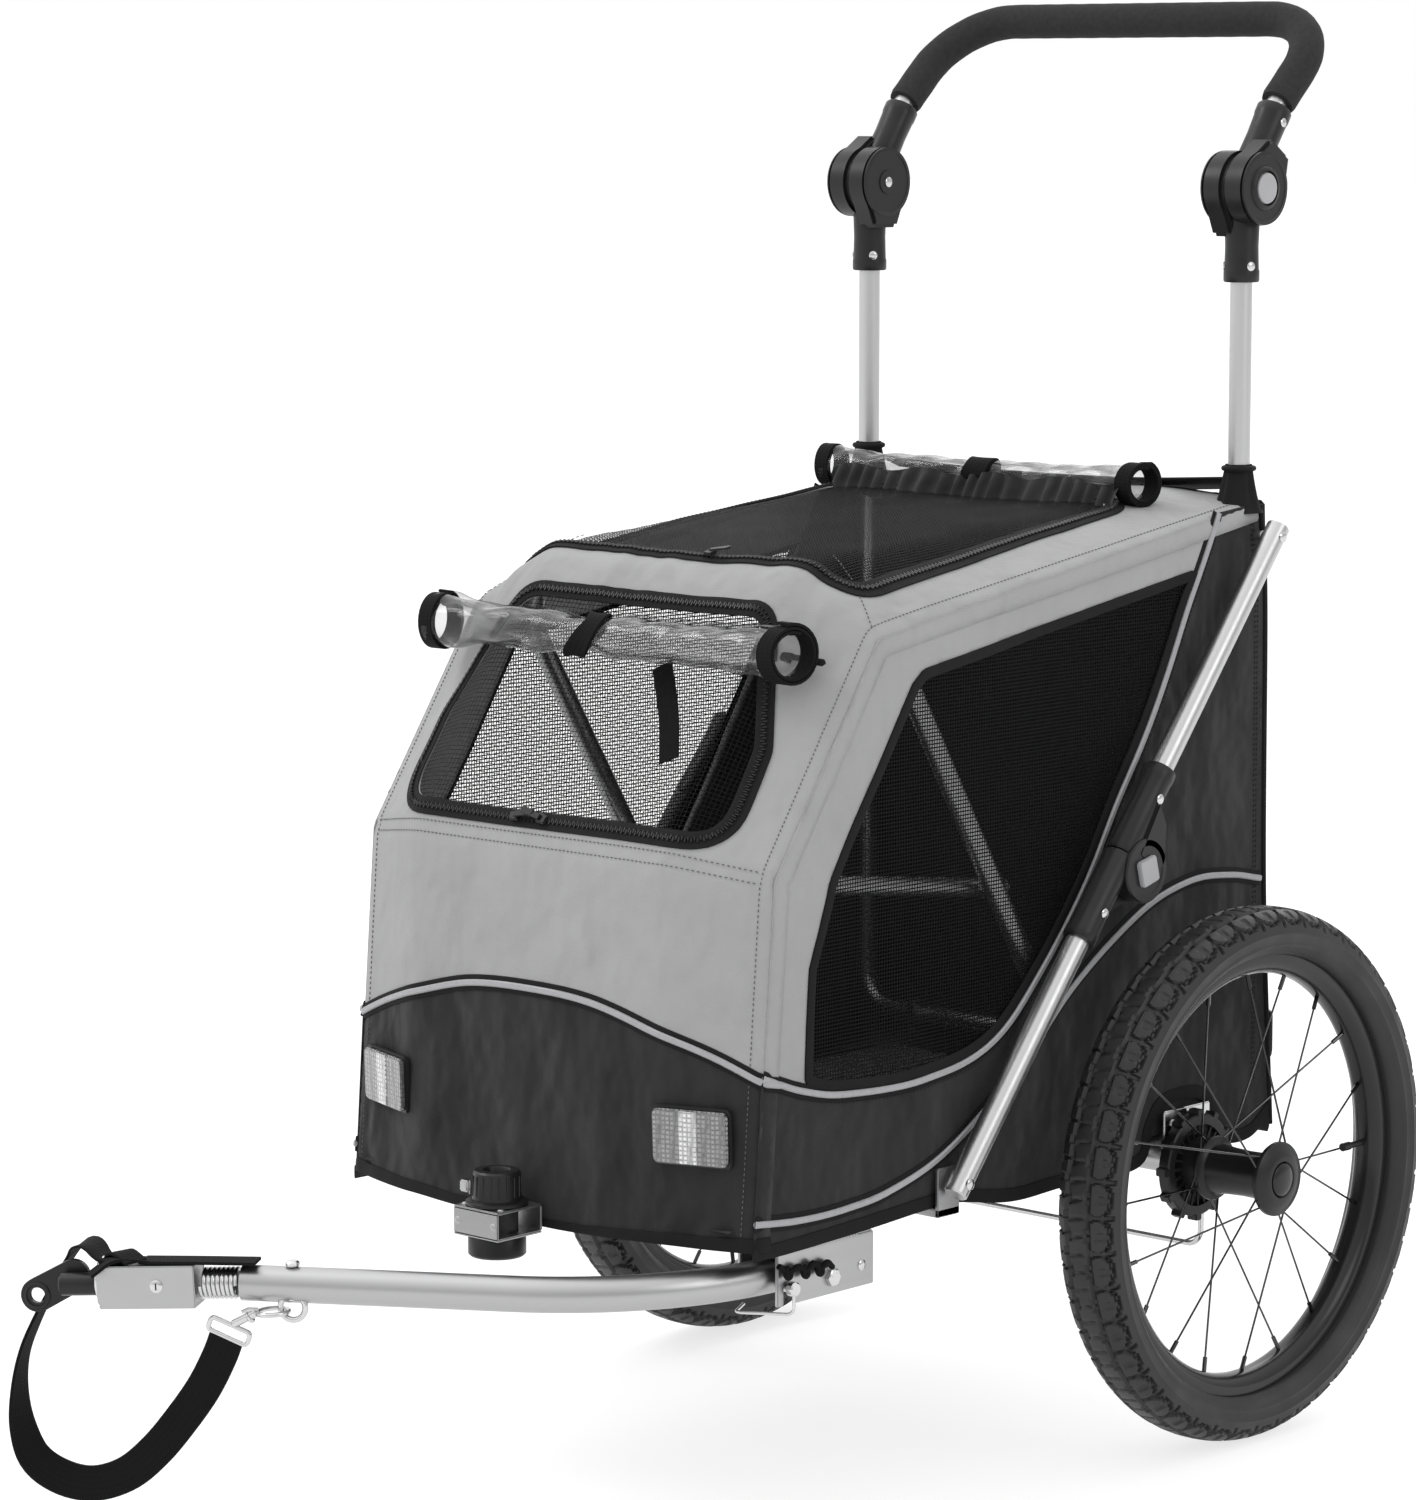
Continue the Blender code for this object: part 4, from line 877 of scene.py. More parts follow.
def laid_band(chart, path, width, height, closed=False, profile=None, lift=0.0):
    """Band that lies on a chart along a path of its coordinates, with a rounded cross-section."""
    path = np.array(path)
    if closed:
        before, after = np.roll(path, 1, axis=0), np.roll(path, -1, axis=0)
    else:
        before = np.vstack([path[:1], path[:-1]])
        after = np.vstack([path[1:], path[-1:]])
    tangent = after - before
    tangent /= np.maximum(np.linalg.norm(tangent, axis=1, keepdims=True), 1e-12)
    side = np.stack([-tangent[:, 1], tangent[:, 0]], axis=1)
    profile = profile or [(-0.5, 0.0), (-0.48, 0.7), (-0.3, 1.0), (0.0, 1.0), (0.3, 1.0), (0.48, 0.7),
                          (0.5, 0.0), (0.0, -0.3)]
    columns = [chart.points(path + side * offset * width, lift + rise * height)
               for offset, rise in profile]
    rings = [[Vector(column[i]) for column in columns] for i in range(len(path))]
    verts, faces = skin(rings, closed)
    steps = np.concatenate([[0], np.cumsum(np.linalg.norm(np.diff(path, axis=0), axis=1))])
    uvs = [(steps[i], offset * width) for i in range(len(path)) for offset, _ in profile]
    return verts, faces, uvs


def dashes(soup, chart, path):
    """Row of stitches along a path of chart coordinates."""
    length, gap, radius, lift = 0.0026, 0.0013, 0.00035, 0.0004
    marks = resample(path, (length + gap) / 4)
    points = [Vector(p) for p in chart.points(marks, lift)]
    for i in range(0, len(points) - 4, 4):
        soup.add(tube(points[i:i + 3], radius, 5))


def zip_along(name, chart, path, width):
    """Closed zip: a flat tape with two raised coils of teeth."""
    lift = 0.0006
    Soup(laid_band(chart, path, width, 0.0011, True, lift=lift)).lay(f"{name}_tape", "binding")
    teeth = Soup()
    marks = resample(np.vstack([path, path[:1]]), 0.0021, True)
    points = chart.points(marks, lift + 0.0018)
    normals = chart.normals(marks)
    ahead = np.roll(points, -1, axis=0) - points
    for i in range(len(points) - 1):
        along = Vector(ahead[i]).normalized()
        across = Vector(normals[i]).cross(along).normalized()
        centre = Vector(points[i]) + across * (0.0006 if i % 2 else -0.0006)
        half = across * 0.0016
        teeth.add(tube([centre - half, centre + half], 0.00085, 6))
    teeth.lay(f"{name}_teeth", "plastic", slot="webbing")


# ---------------------------------------------------------------- cabin panels
def front_window_outline(grow=0.0, step=0.005):
    """Outline of the front window on the nose chart, grown on every side."""
    low, high = SEAM_B + 0.020 - grow, SEAM_B + 0.192 + grow
    corners = [(-0.153 - grow, low), (0.153 + grow, low), (0.150 + grow, low + 0.085),
               (0.116 + grow, high), (-0.116 - grow, high), (-0.150 - grow, low + 0.085)]
    return rounded_outline(corners, [0.036, 0.036, 0.035, 0.030, 0.030, 0.035], step)


def roof_window_outline(grow=0.0, step=0.005):
    """Outline of the roof window on the nose chart, grown on every side."""
    low, high = RIDGE_B + 0.020 - grow, RIDGE_B + 0.345 + grow
    corners = [(-0.158 - grow, low), (0.158 + grow, low), (0.138 + grow, high), (-0.138 - grow, high)]
    return rounded_outline(corners, 0.028, step)


def side_window_outline(step=0.005):
    """Front and top edges are straight; the lower edge follows the piping."""
    pipe = smooth_curve(PIPE_SIDE, 0.004)
    lower = pipe[(pipe[:, 0] > -0.405) & (pipe[:, 0] < 0.006)]
    normal = np.gradient(lower, axis=0)
    normal /= np.linalg.norm(normal, axis=1, keepdims=True)
    lower = lower + np.stack([-normal[:, 1], normal[:, 0]], axis=1) * 0.0062
    corners = np.vstack([lower, [(0.010, 0.6425)], [(-0.300, 0.5945)], [(-0.311, 0.586)],
                         [(-0.397, 0.458)], [(-0.417, 0.400)], [(-0.4195, 0.322)]])
    return resample(np.vstack([corners, corners[:1]]), step, closed=True)


def hem_side():
    """Lower edge of a side wall, with a notch over the axle."""
    return [(0.112, 0.222), (0.085, 0.206), (0.052, 0.208), (0.040, 0.228), (0.022, 0.246),
            (-0.022, 0.246), (-0.040, 0.228), (-0.054, 0.204), (-0.140, 0.204), (-0.200, 0.203),
            (-0.262, 0.2125), (-0.296, 0.2125), (-0.360, 0.209), (-0.440, 0.206), (-0.4775, 0.206)]


def split_outline(low_path, high_path, step=0.005):
    """Closed outline between a lower and an upper path that run the same way."""
    joined = np.vstack([low_path, high_path[::-1], low_path[:1]])
    return resample(joined, step, closed=True)


def nose_piping_path():
    """Path of the piping across the nose, out to both edges of the cloth."""
    pipe = smooth_curve(PIPE_FRONT, 0.004)
    pipe[0, 0], pipe[-1, 0] = -WRAP_END, WRAP_END
    return pipe


def build_nose():
    """Front, slope and roof of the cabin: light cloth over a dark lower band."""
    pipe = nose_piping_path()
    hem = np.array([(-WRAP_END, 0.010), (-0.150, 0.008), (-0.060, 0.002), (0.030, -0.003),
                    (0.110, 0.004), (WRAP_END, 0.010)])
    top = np.array([(-WRAP_END, REAR_B), (WRAP_END, REAR_B)])
    panel("cabin_front_lower", NOSE, split_outline(hem, pipe), [], "dark")
    windows = [front_window_outline(), roof_window_outline()]
    panel("cabin_nose_and_roof", NOSE, split_outline(pipe, top), windows, "light", "fabric_cover")
    netting_panel("front_window_net", NOSE, front_window_outline(0.004), "front_net", "front_mesh",
                  -0.0015)
    netting_panel("roof_window_net", NOSE, roof_window_outline(0.004), "net", "roof_mesh", -0.0015)
    hem_path = smooth_curve(hem + [0, 0.004], 0.005)
    Soup(laid_band(NOSE, hem_path, 0.011, 0.0012, lift=0.0002)).lay("front_hem_binding", "binding")


def build_walls():
    """Side walls with their netting, in light and dark cloth."""
    for name, side in SIDES:
        chart = side_wall_chart(side)
        pipe = smooth_curve(PIPE_SIDE, 0.004)
        window = side_window_outline()
        upper = [(-0.4665, 0.331), (-0.456, 0.466), (-0.349, 0.623), (0.036, 0.6845)]
        panel(f"{name}_wall_upper", chart, split_outline(pipe, upper), [window], "light")
        hem = smooth_curve(hem_side()[::-1], 0.004)
        rear = np.array([(0.112, 0.222), (0.0995, 0.396), (0.0955, 0.618), (0.086, 0.691)])
        outline = resample(np.vstack([hem, rear, pipe[::-1], hem[:1]]), 0.005, closed=True)
        panel(f"{name}_wall_lower", chart, outline, [], "dark", "fabric_tub" if side > 0 else None)
        netting_panel(f"{name}_window_net", chart, window, "net", f"{name}_side_mesh", -0.0012)
        band = laid_band(chart, hem + [0, 0.004], 0.010, 0.0011, lift=0.0002)
        Soup(band).lay(f"{name}_hem_binding", "binding")


# ---------------------------------------------------------------- cabin trims
def strap_strip(points, normals, width, thickness, closed=False):
    """Flat strap along a path; each normal points out of its face."""
    points = [Vector(p) for p in points]
    section = ((-0.5, -0.3), (-0.47, 0.5), (0, 0.5), (0.47, 0.5), (0.5, -0.3), (0.47, -0.5), (0, -0.5),
               (-0.47, -0.5))
    rings = []
    uvs = []
    run = 0.0
    for i, (point, tangent) in enumerate(zip(points, tangents(points, closed))):
        normal = Vector(normals[i])
        normal = (normal - tangent * normal.dot(tangent)).normalized()
        across = tangent.cross(normal)
        run += (point - points[i - 1]).length if i else 0.0
        rings.append([point + across * width * u + normal * thickness * v for u, v in section])
        uvs.extend((run, u * width) for u, _ in section)
    verts, faces = skin(rings, closed)
    return verts, faces, uvs


def piping(name, chart, path):
    """Reflective cord sewn between black tapes."""
    Soup(laid_band(chart, path, 0.0115, 0.0011)).lay(f"{name}_edging", "binding")
    Soup(laid_band(chart, path, 0.0048, 0.0030)).lay(f"{name}_piping", "tape")


def zip_pull(soup, chart, place, turn, length=0.022):
    """Slider and hanging tab of a zip, at a place on a chart."""
    origin = Vector(chart.points([place], 0.0030)[0])
    normal = Vector(chart.normals(np.array([place], dtype=float))[0])
    ahead = Vector(chart.points([(place[0] + math.cos(turn) * 0.004,
                                  place[1] + math.sin(turn) * 0.004)],
                                0.0030)[0]) - origin
    along = (ahead - normal * ahead.dot(normal)).normalized()
    axes = Matrix((along, normal.cross(along), normal)).transposed().to_4x4()
    frame_here = Matrix.Translation(origin) @ axes
    slider = [(-0.0045, -0.0030), (0.0045, -0.0042), (0.0045, 0.0042), (-0.0045, 0.0030)]
    soup.add(slab(slider, 0.0026, frame_here))
    tab = [(0.0010, -0.0021), (length, -0.0027), (length + 0.0022, 0.0), (length, 0.0027),
           (0.0010, 0.0021)]
    lifted = frame_here @ Matrix.Translation((0, 0, 0.0030)) @ Matrix.Rotation(math.radians(-7), 4, "Y")
    soup.add(slab(tab, 0.0014, lifted, 0.0004))


def build_front_trim():
    """Seams, window zips and piping of the nose and roof."""
    seams = Soup()
    for side in (1, -1):
        edge = np.stack([np.full(300, side * 0.1880), np.linspace(0.012, REAR_B - 0.01, 300)], axis=1)
        dashes(seams, NOSE, edge)
        dart = [(side * 0.1880, RIDGE_B + 0.004), (side * 0.150, RIDGE_B + 0.030),
                (side * 0.118, RIDGE_B + 0.045)]
        dashes(seams, NOSE, dart)
    dashes(seams, NOSE, [(-0.1875, SEAM_B - 0.0045), (0.1875, SEAM_B - 0.0045)])
    dashes(seams, NOSE, [(-0.1875, SEAM_B + 0.0045), (0.1875, SEAM_B + 0.0045)])
    seams.lay("nose_stitching", "thread")
    piping("nose", NOSE, nose_piping_path())
    zip_along("front_window", NOSE, front_window_outline(0.0050, 0.004), 0.0135)
    zip_along("roof_window", NOSE, roof_window_outline(0.0055, 0.004), 0.0150)
    pulls = Soup()
    low = SEAM_B + 0.0155
    zip_pull(pulls, NOSE, (-0.030, low), 0.15, 0.020)
    zip_pull(pulls, NOSE, (-0.002, low), math.pi - 0.2, 0.018)
    zip_pull(pulls, NOSE, (0.146, SEAM_B + 0.170), 0.35, 0.030)
    zip_pull(pulls, NOSE, (0.030, RIDGE_B + 0.0150), 0.1, 0.018)
    pulls.lay("zip_pulls", "plastic")
    points = smooth_curve([(0.036, -0.396, 0.596), (0.060, -0.415, 0.564), (0.078, -0.434, 0.536)],
                          0.006)
    strap = Soup(strap_strip(points, [(0, -0.82, 0.57)] * len(points), 0.017, 0.0012))
    strap.lay("window_inner_strap", "webbing")


def build_wall_trim():
    """Piping, window binding and seams of both side walls."""
    for name, side in SIDES:
        chart = side_wall_chart(side)
        piping(f"{name}_wall", chart, smooth_curve(PIPE_SIDE, 0.004))
        piping(f"{name}_lower_wall", chart, smooth_curve(STRIPE_SIDE, 0.004))
        edge = Soup(laid_band(chart, side_window_outline(0.004), 0.0078, 0.0016, closed=True))
        edge.lay(f"{name}_window_binding", "binding")
        seams = Soup()
        for inset in (0.0085, 0.0115):
            rear = [(0.0995 - inset, 0.250), (0.0960 - inset, 0.618), (0.0885 - inset, 0.680)]
            dashes(seams, chart, rear)
        dashes(seams, chart, np.array(smooth_curve(PIPE_SIDE, 0.004)) + [0.0045, -0.0065])
        seams.lay(f"{name}_wall_stitching", "dark_thread")


def spiral(centre, radius, start, turns, steps):
    """Points of a loose spiral in the YZ plane, as (y, z) and outward direction."""
    points = []
    for k in range(steps + 1):
        angle = start + math.tau * turns * k / steps
        size = radius * (0.72 + 0.28 * k / steps)
        outward = (math.cos(angle), math.sin(angle))
        points.append((centre[0] + size * outward[0], centre[1] + size * outward[1], outward))
    return points


def build_film_roll(name, span, centre, radii, turns, pinch, strap_width, lean):
    """Clear window film rolled up along X, bound in black at both ends and held by a strap."""
    columns, steps = 84, int(30 * turns)
    film = Soup()
    verts, faces, uvs = [], [], []
    for i in range(columns + 1):
        t = i / columns
        x = span[0] + (span[1] - span[0]) * t
        flare = max(0.0, 1 - t * 6) ** 1.5 + max(0.0, 1 - (1 - t) * 6) ** 1.5
        size = radii[0] + (radii[1] - radii[0]) * flare
        size *= 1 - 0.22 * math.exp(-((t - pinch) / 0.06) ** 2)
        size *= 1 + 0.035 * math.sin(23 * t + 1.0)
        for k, (y, z, out) in enumerate(spiral(centre, size, 0.6 + 0.5 * t, turns, steps)):
            crease = 0.0007 * math.sin(9 * t * math.tau + 1.7 * k * 0.35)
            crease += 0.0005 * math.sin(k * 0.9 + 31 * t)
            verts.append((x, y + crease * out[0], z + crease * out[1]))
            uvs.append((x, k / steps * turns * math.tau * size))
    row = steps + 1
    for i in range(columns):
        for k in range(steps):
            faces.append((i * row + k, i * row + k + 1, (i + 1) * row + k + 1, (i + 1) * row + k))
    film.add((verts, faces, uvs))
    sheet = film.put(f"{name}_film", "vinyl", "trailer", name, 70.0)
    SOFT.append(sheet)
    trim = Soup()
    for x, tilt in ((span[0] - 0.001, lean[0]), (span[1] + 0.001, lean[1])):
        points, normals = [], []
        for y, z, out in spiral(centre, radii[1], 0.6 + (0.5 if x > 0 else 0.0), turns, steps):
            points.append((x + tilt * out[0], y, z))
            normals.append((0, *out))
        trim.add(strap_strip(points, normals, 0.0135, 0.0022))
    x = span[0] + (span[1] - span[0]) * pinch
    points, normals = [], []
    for k in range(28):
        angle = math.tau * k / 28
        out = (math.cos(angle), math.sin(angle))
        size = radii[0] * 0.92
        points.append((x - 0.016 * math.cos(angle + 0.9) * lean[2], centre[0] + size * out[0],
                       centre[1] + size * out[1]))
        normals.append((0, *out))
    trim.add(strap_strip(points, normals, strap_width, 0.0020, closed=True))
    trim.lay(f"{name}_bindings", "webbing")


def build_rolls():
    """Both rolled-up window films and the gathered cloth under the roof one."""
    build_film_roll("front_window_roll", (-0.172, 0.166), (-0.4105, 0.6150), (0.0165, 0.0215), 2.1,
                    0.44, 0.017, (-0.004, 0.004, 1.0))
    build_film_roll("roof_window_roll", (-0.156, 0.146), (0.0040, 0.7075), (0.0125, 0.0170), 2.0,
                    0.50, 0.024, (-0.003, 0.003, 0.25))
    gathered = Soup()
    verts, faces, uvs = [], [], []
    columns, rows = 220, 6
    for i in range(columns + 1):
        x = -0.142 + 0.284 * i / columns
        for k in range(rows + 1):
            t = k / rows
            fold = 0.0032 * math.sin(x * 420 + 2.0 * math.sin(x * 60)) * (0.4 + 0.6 * math.sin(t * math.pi))
            verts.append((x, -0.020 + 0.012 * t + fold, 0.6875 + 0.021 * t + 0.002 * math.sin(x * 90)))
            uvs.append((x, 0.024 * t))
    for i in range(columns):
        for k in range(rows):
            low, high = i * (rows + 1) + k, (i + 1) * (rows + 1) + k
            faces.append((low, high, high + 1, low + 1))
    gathered.add((verts, faces, uvs))
    gathered.lay("roof_gather", "dark", None, 80.0)


def reflector(name, place, width, height):
    """Prismatic lens in a shallow rim, on a plate, with a brighter strip of the same lens laid on it as a
    painted highlight.
    """
    frame_rim, lens = Soup(), Soup()

    def rounded(w, h, r):
        return [tuple(p) for p in rounded_outline([(-w, -h), (w, -h), (w, h), (-w, h)], r, 0.003)]

    frame_rim.add(slab(rounded(width / 2, height / 2, 0.004), 0.0035, place, 0.0006))
    frame_rim.put(f"{name}_back", "plastic", "trailer")
    top = place @ Matrix.Translation((0, 0, 0.0034))
    lens.add(slab(rounded(width / 2 - 0.0018, height / 2 - 0.0018, 0.004), 0.0036, top, 0.0010))
    lens.lay(f"{name}_lens", "lens", name)
    # Brighter strip of the same lens material, a little off centre: a painted highlight.
    column = [(-width * 0.13, -height * 0.44), (width * 0.10, -height * 0.44),
              (width * 0.10, height * 0.44), (-width * 0.13, height * 0.44)]
    middle = Soup(slab(column, 0.0010, top @ Matrix.Translation((0, 0, 0.0032)), 0.0003))
    middle.lay(f"{name}_lens_highlight_strip", "painted_lens_highlight")
    SOFT.append(bpy.data.objects[f"{name}_back"])


def build_reflectors():
    """Two reflectors at the front and two at the rear."""
    for name, side in SIDES:
        spot = np.array([[side * 0.1505, 0.086]])
        origin = Vector(NOSE.points(spot, 0.0002)[0])
        normal = Vector((side * 0.281, -0.9597, -0.03)).normalized()
        up = Vector((0, -0.05, 1.0))
        across = up.cross(normal).normalized()
        axes = Matrix((across, normal.cross(across), normal)).transposed().to_4x4()
        reflector(f"{name}_front_reflector", Matrix.Translation(origin) @ axes, 0.0610, 0.0420)
        back = Matrix.Translation((side * 0.1680, 0.1135, 0.281)) @ Matrix(
            ((-1, 0, 0), (0, 0, 1), (0, 1, 0))).to_4x4()
        reflector(f"{name}_rear_reflector", back, 0.0560, 0.0380)


def build_rear():
    """Rear wall with its zipped door, collars round the uprights and a top band."""
    door = rounded_outline([(-0.145, 0.2555), (0.145, 0.2555), (0.145, 0.6545), (-0.145, 0.6545)],
                           0.030, 0.006)
    wall = resample([(-0.1985, 0.206), (0.1985, 0.206), (0.1985, 0.6925), (0.120, 0.6985),
                     (-0.120, 0.6985), (-0.1985, 0.6925), (-0.1985, 0.206)], 0.006, closed=True)
    panel("rear_wall", REAR, wall, [door], "dark")
    panel("door_cloth", REAR, door, [], "dark", "rear_door", "door", lift=-0.0003)
    points = smooth_curve([(0, 0.1005, 0.590), (0, 0.1060, 0.580), (0, 0.1085, 0.560),
                           (0, 0.1060, 0.540), (0, 0.1005, 0.530)], 0.004)
    handle = Soup(strap_strip(points, [(0, 1, 0.01)] * len(points), 0.022, 0.0018))
    handle.put("door_pull_strap", "webbing", "door")
    zip_along("door", REAR, door, 0.0120)
    pulls = Soup()
    zip_pull(pulls, REAR, (0.145, 0.600), -math.pi / 2, 0.026)
    zip_pull(pulls, REAR, (-0.145, 0.600), -math.pi / 2, 0.026)
    pulls.lay("door_zip_pulls", "plastic")
    for name, side in SIDES:
        collar = Soup()
        rings = []
        levels = 12
        for k in range(levels + 1):
            t = k / levels
            size = 0.0195 + (0.0105 - 0.0195) * t ** 0.6
            ring = []
            for i in range(40):
                angle = math.tau * i / 40
                wave = 0.07 * math.sin(angle * 7) + 0.04 * math.sin(angle * 11 + 1)
                pucker = 1 + wave * (0.3 + t * (1 - t) * 3)
                ring.append(Vector((side * 0.1840 + size * pucker * math.cos(angle),
                                    0.0800 + size * pucker * math.sin(angle) * (1 - 0.1 * t),
                                    0.684 + 0.036 * t)))
            rings.append(ring)
        collar.add(skin(rings, False, False))
        top = [Vector((side * 0.1840 + 0.0112 * math.cos(math.tau * i / 30),
                       0.0800 + 0.0112 * math.sin(math.tau * i / 30), 0.7170)) for i in range(30)]
        collar.add(tube(top, 0.0021, 8, closed=True))
        collar.lay(f"{name}_collar", "binding", None, 80.0)
    band = Soup()
    points = smooth_curve([(-0.170, 0.0905, 0.7045), (-0.09, 0.0915, 0.7000), (0.0, 0.0925, 0.6985),
                           (0.09, 0.0915, 0.7000), (0.170, 0.0905, 0.7045)], 0.008)
    band.add(strap_strip(points, [(0, 0.35, 0.94)] * len(points), 0.026, 0.0022))
    band.lay("rear_top_band", "webbing")
    corners = Soup()
    for name, side in SIDES:
        edge = [(side * 0.1975, y, z) for y, z in ((0.1125, 0.212), (0.1000, 0.396), (0.0965, 0.618),
                                                   (0.089, 0.690))]
        corners.add(tube(smooth_curve(edge, 0.008), 0.0024, 8))
    corners.lay("rear_corner_binding", "binding")


def mirrored_block(side, x, y, z, bevel=0.0008):
    """Block given by its ranges in X, Y and Z, with the X range mirrored to a side."""
    low, high = sorted((side * x[0], side * x[1]))
    return cuboid((low, y[0], z[0]), (high, y[1], z[1]), bevel)


def build_floor_cloth():
    """Dark cloth that closes the tub between the floor panel and the walls."""
    level = (0.2240, 0.2246)
    cloth = Soup()
    for _, side in SIDES:
        cloth.add(
            mirrored_block(side, (0.1375, 0.1955), (-0.470, 0.100), level, 0),
            mirrored_block(side, (0.1375, 0.1830), (-0.4870, -0.4705), level, 0),
            mirrored_block(side, (0.1950, 0.1956), (-0.055, 0.055), (0.2250, 0.2520), 0),
        )
    cloth.add(mirrored_block(1, (-0.1370, 0.1370), (-0.490, -0.449), level, 0))
    cloth.add(mirrored_block(1, (-0.1370, 0.1370), (0.0535, 0.100), level, 0))
    cloth.lay("floor_cloth", "dark")


def build_cushion():
    """Quilted floor pad, puffed up by a short cloth simulation."""
    low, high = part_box("floor_cushion")
    inset = 0.003
    bm = bmesh.new()
    bmesh.ops.create_cube(bm, size=1.0)
    mesh = bpy.data.meshes.new("floor_pad")
    for vert in bm.verts:
        for axis in range(3):
            span = high[axis] - low[axis] - 2 * inset
            vert.co[axis] = (low[axis] + high[axis]) / 2 + vert.co[axis] * span
    bmesh.ops.bevel(bm, geom=bm.edges, offset=0.006, segments=3, affect="EDGES")
    bm.to_mesh(mesh)
    bm.free()
    pad = bpy.data.objects.new("floor_pad", mesh)
    bpy.context.collection.objects.link(pad)
    remesh = pad.modifiers.new("remesh", "REMESH")
    remesh.mode = "VOXEL"
    remesh.voxel_size = 0.006
    bake(pad)
    rest = [v.co.copy() for v in pad.data.vertices]
    cloth = pad.modifiers.new("cloth", "CLOTH")
    cloth.settings.use_pressure = True
    cloth.settings.uniform_pressure_force = 4.0
    cloth.settings.effector_weights.gravity = 0.0
    for step in range(1, 21):
        bpy.context.scene.frame_set(step)
    bake(pad)
    bpy.context.scene.frame_set(1)
    for vert, start in zip(pad.data.vertices, rest):
        move = vert.co - start
        vert.co = start + move * min(1.0, 0.0045 / max(move.length, 1e-9))
    floor = low[2]
    for vert in pad.data.vertices:
        x, y, z = vert.co
        quilt = 0.0
        for groove in (-0.066, 0.0, 0.066):
            quilt += math.exp(-((x - groove) / 0.004) ** 2)
        for groove in (0.13, 0.255, 0.38):
            quilt += math.exp(-((y - low[1] - groove) / 0.004) ** 2)
        if z > floor + 0.010:
            vert.co.z = z - 0.0035 * min(quilt, 1.0)
        vert.co.z = max(vert.co.z, floor)
    pad.data.materials.clear()
    pad.data.materials.append(LOOK["cushion"][0])
    pad.data.shade_smooth()
    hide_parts("floor_cushion")
    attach(pad, "trailer")
    SOFT.append(pad)


def bake(thing):
    """Apply every modifier."""
    graph = bpy.context.evaluated_depsgraph_get()
    flat = bpy.data.meshes.new_from_object(thing.evaluated_get(graph))
    thing.modifiers.clear()
    thing.data = flat


# ---------------------------------------------------------------- hardware helpers
def plane(origin, u, v):
    """Matrix whose XY plane runs along u and v from the origin."""
    u, v = Vector(u).normalized(), Vector(v).normalized()
    return Matrix.Translation(Vector(origin)) @ Matrix((u, v, u.cross(v))).transposed().to_4x4()


def teardrop(radius, reach, half, steps=30):
    """Outline of a disc drawn out to a blunt end at the given reach along +X."""
    opening = math.acos(min(0.98, half / radius)) if half < radius else 0.0
    turn = math.pi / 2 - opening + math.atan2(radius - half, reach)
    points = []
    for i in range(steps + 1):
        angle = turn + (math.tau - 2 * turn) * i / steps
        points.append((radius * math.cos(angle), radius * math.sin(angle)))
    return points + [(reach, -half), (reach, half)]


def screw(centre, axis, radius=0.0032, height=0.0016):
    """Domed screw or rivet head."""
    profile = [(0.0, radius), (height * 0.45, radius), (height * 0.8, radius * 0.78),
               (height, radius * 0.35), (height * 0.98, 0.00001)]
    return lathe(profile, centre, axis, 20)


def rod(start, end, radius, sides=28, edge=0.0006):
    """Straight bar with softened ends."""
    start, end = Vector(start), Vector(end)
    length = (end - start).length
    edge = min(edge, radius * 0.4, length * 0.3)
    profile = [(0, 0.00001), (0, radius - edge), (edge, radius), (length - edge, radius),
               (length, radius - edge), (length, 0.00001)]
    return lathe(profile, start, end - start, sides)


def ring(centre, axis, radius, thickness, steps=40, sides=12):
    """Closed wire ring."""
    across, over = basis(axis)[1:]
    return tube(circle(Vector(centre), across, over, radius, steps), thickness, sides, closed=True)


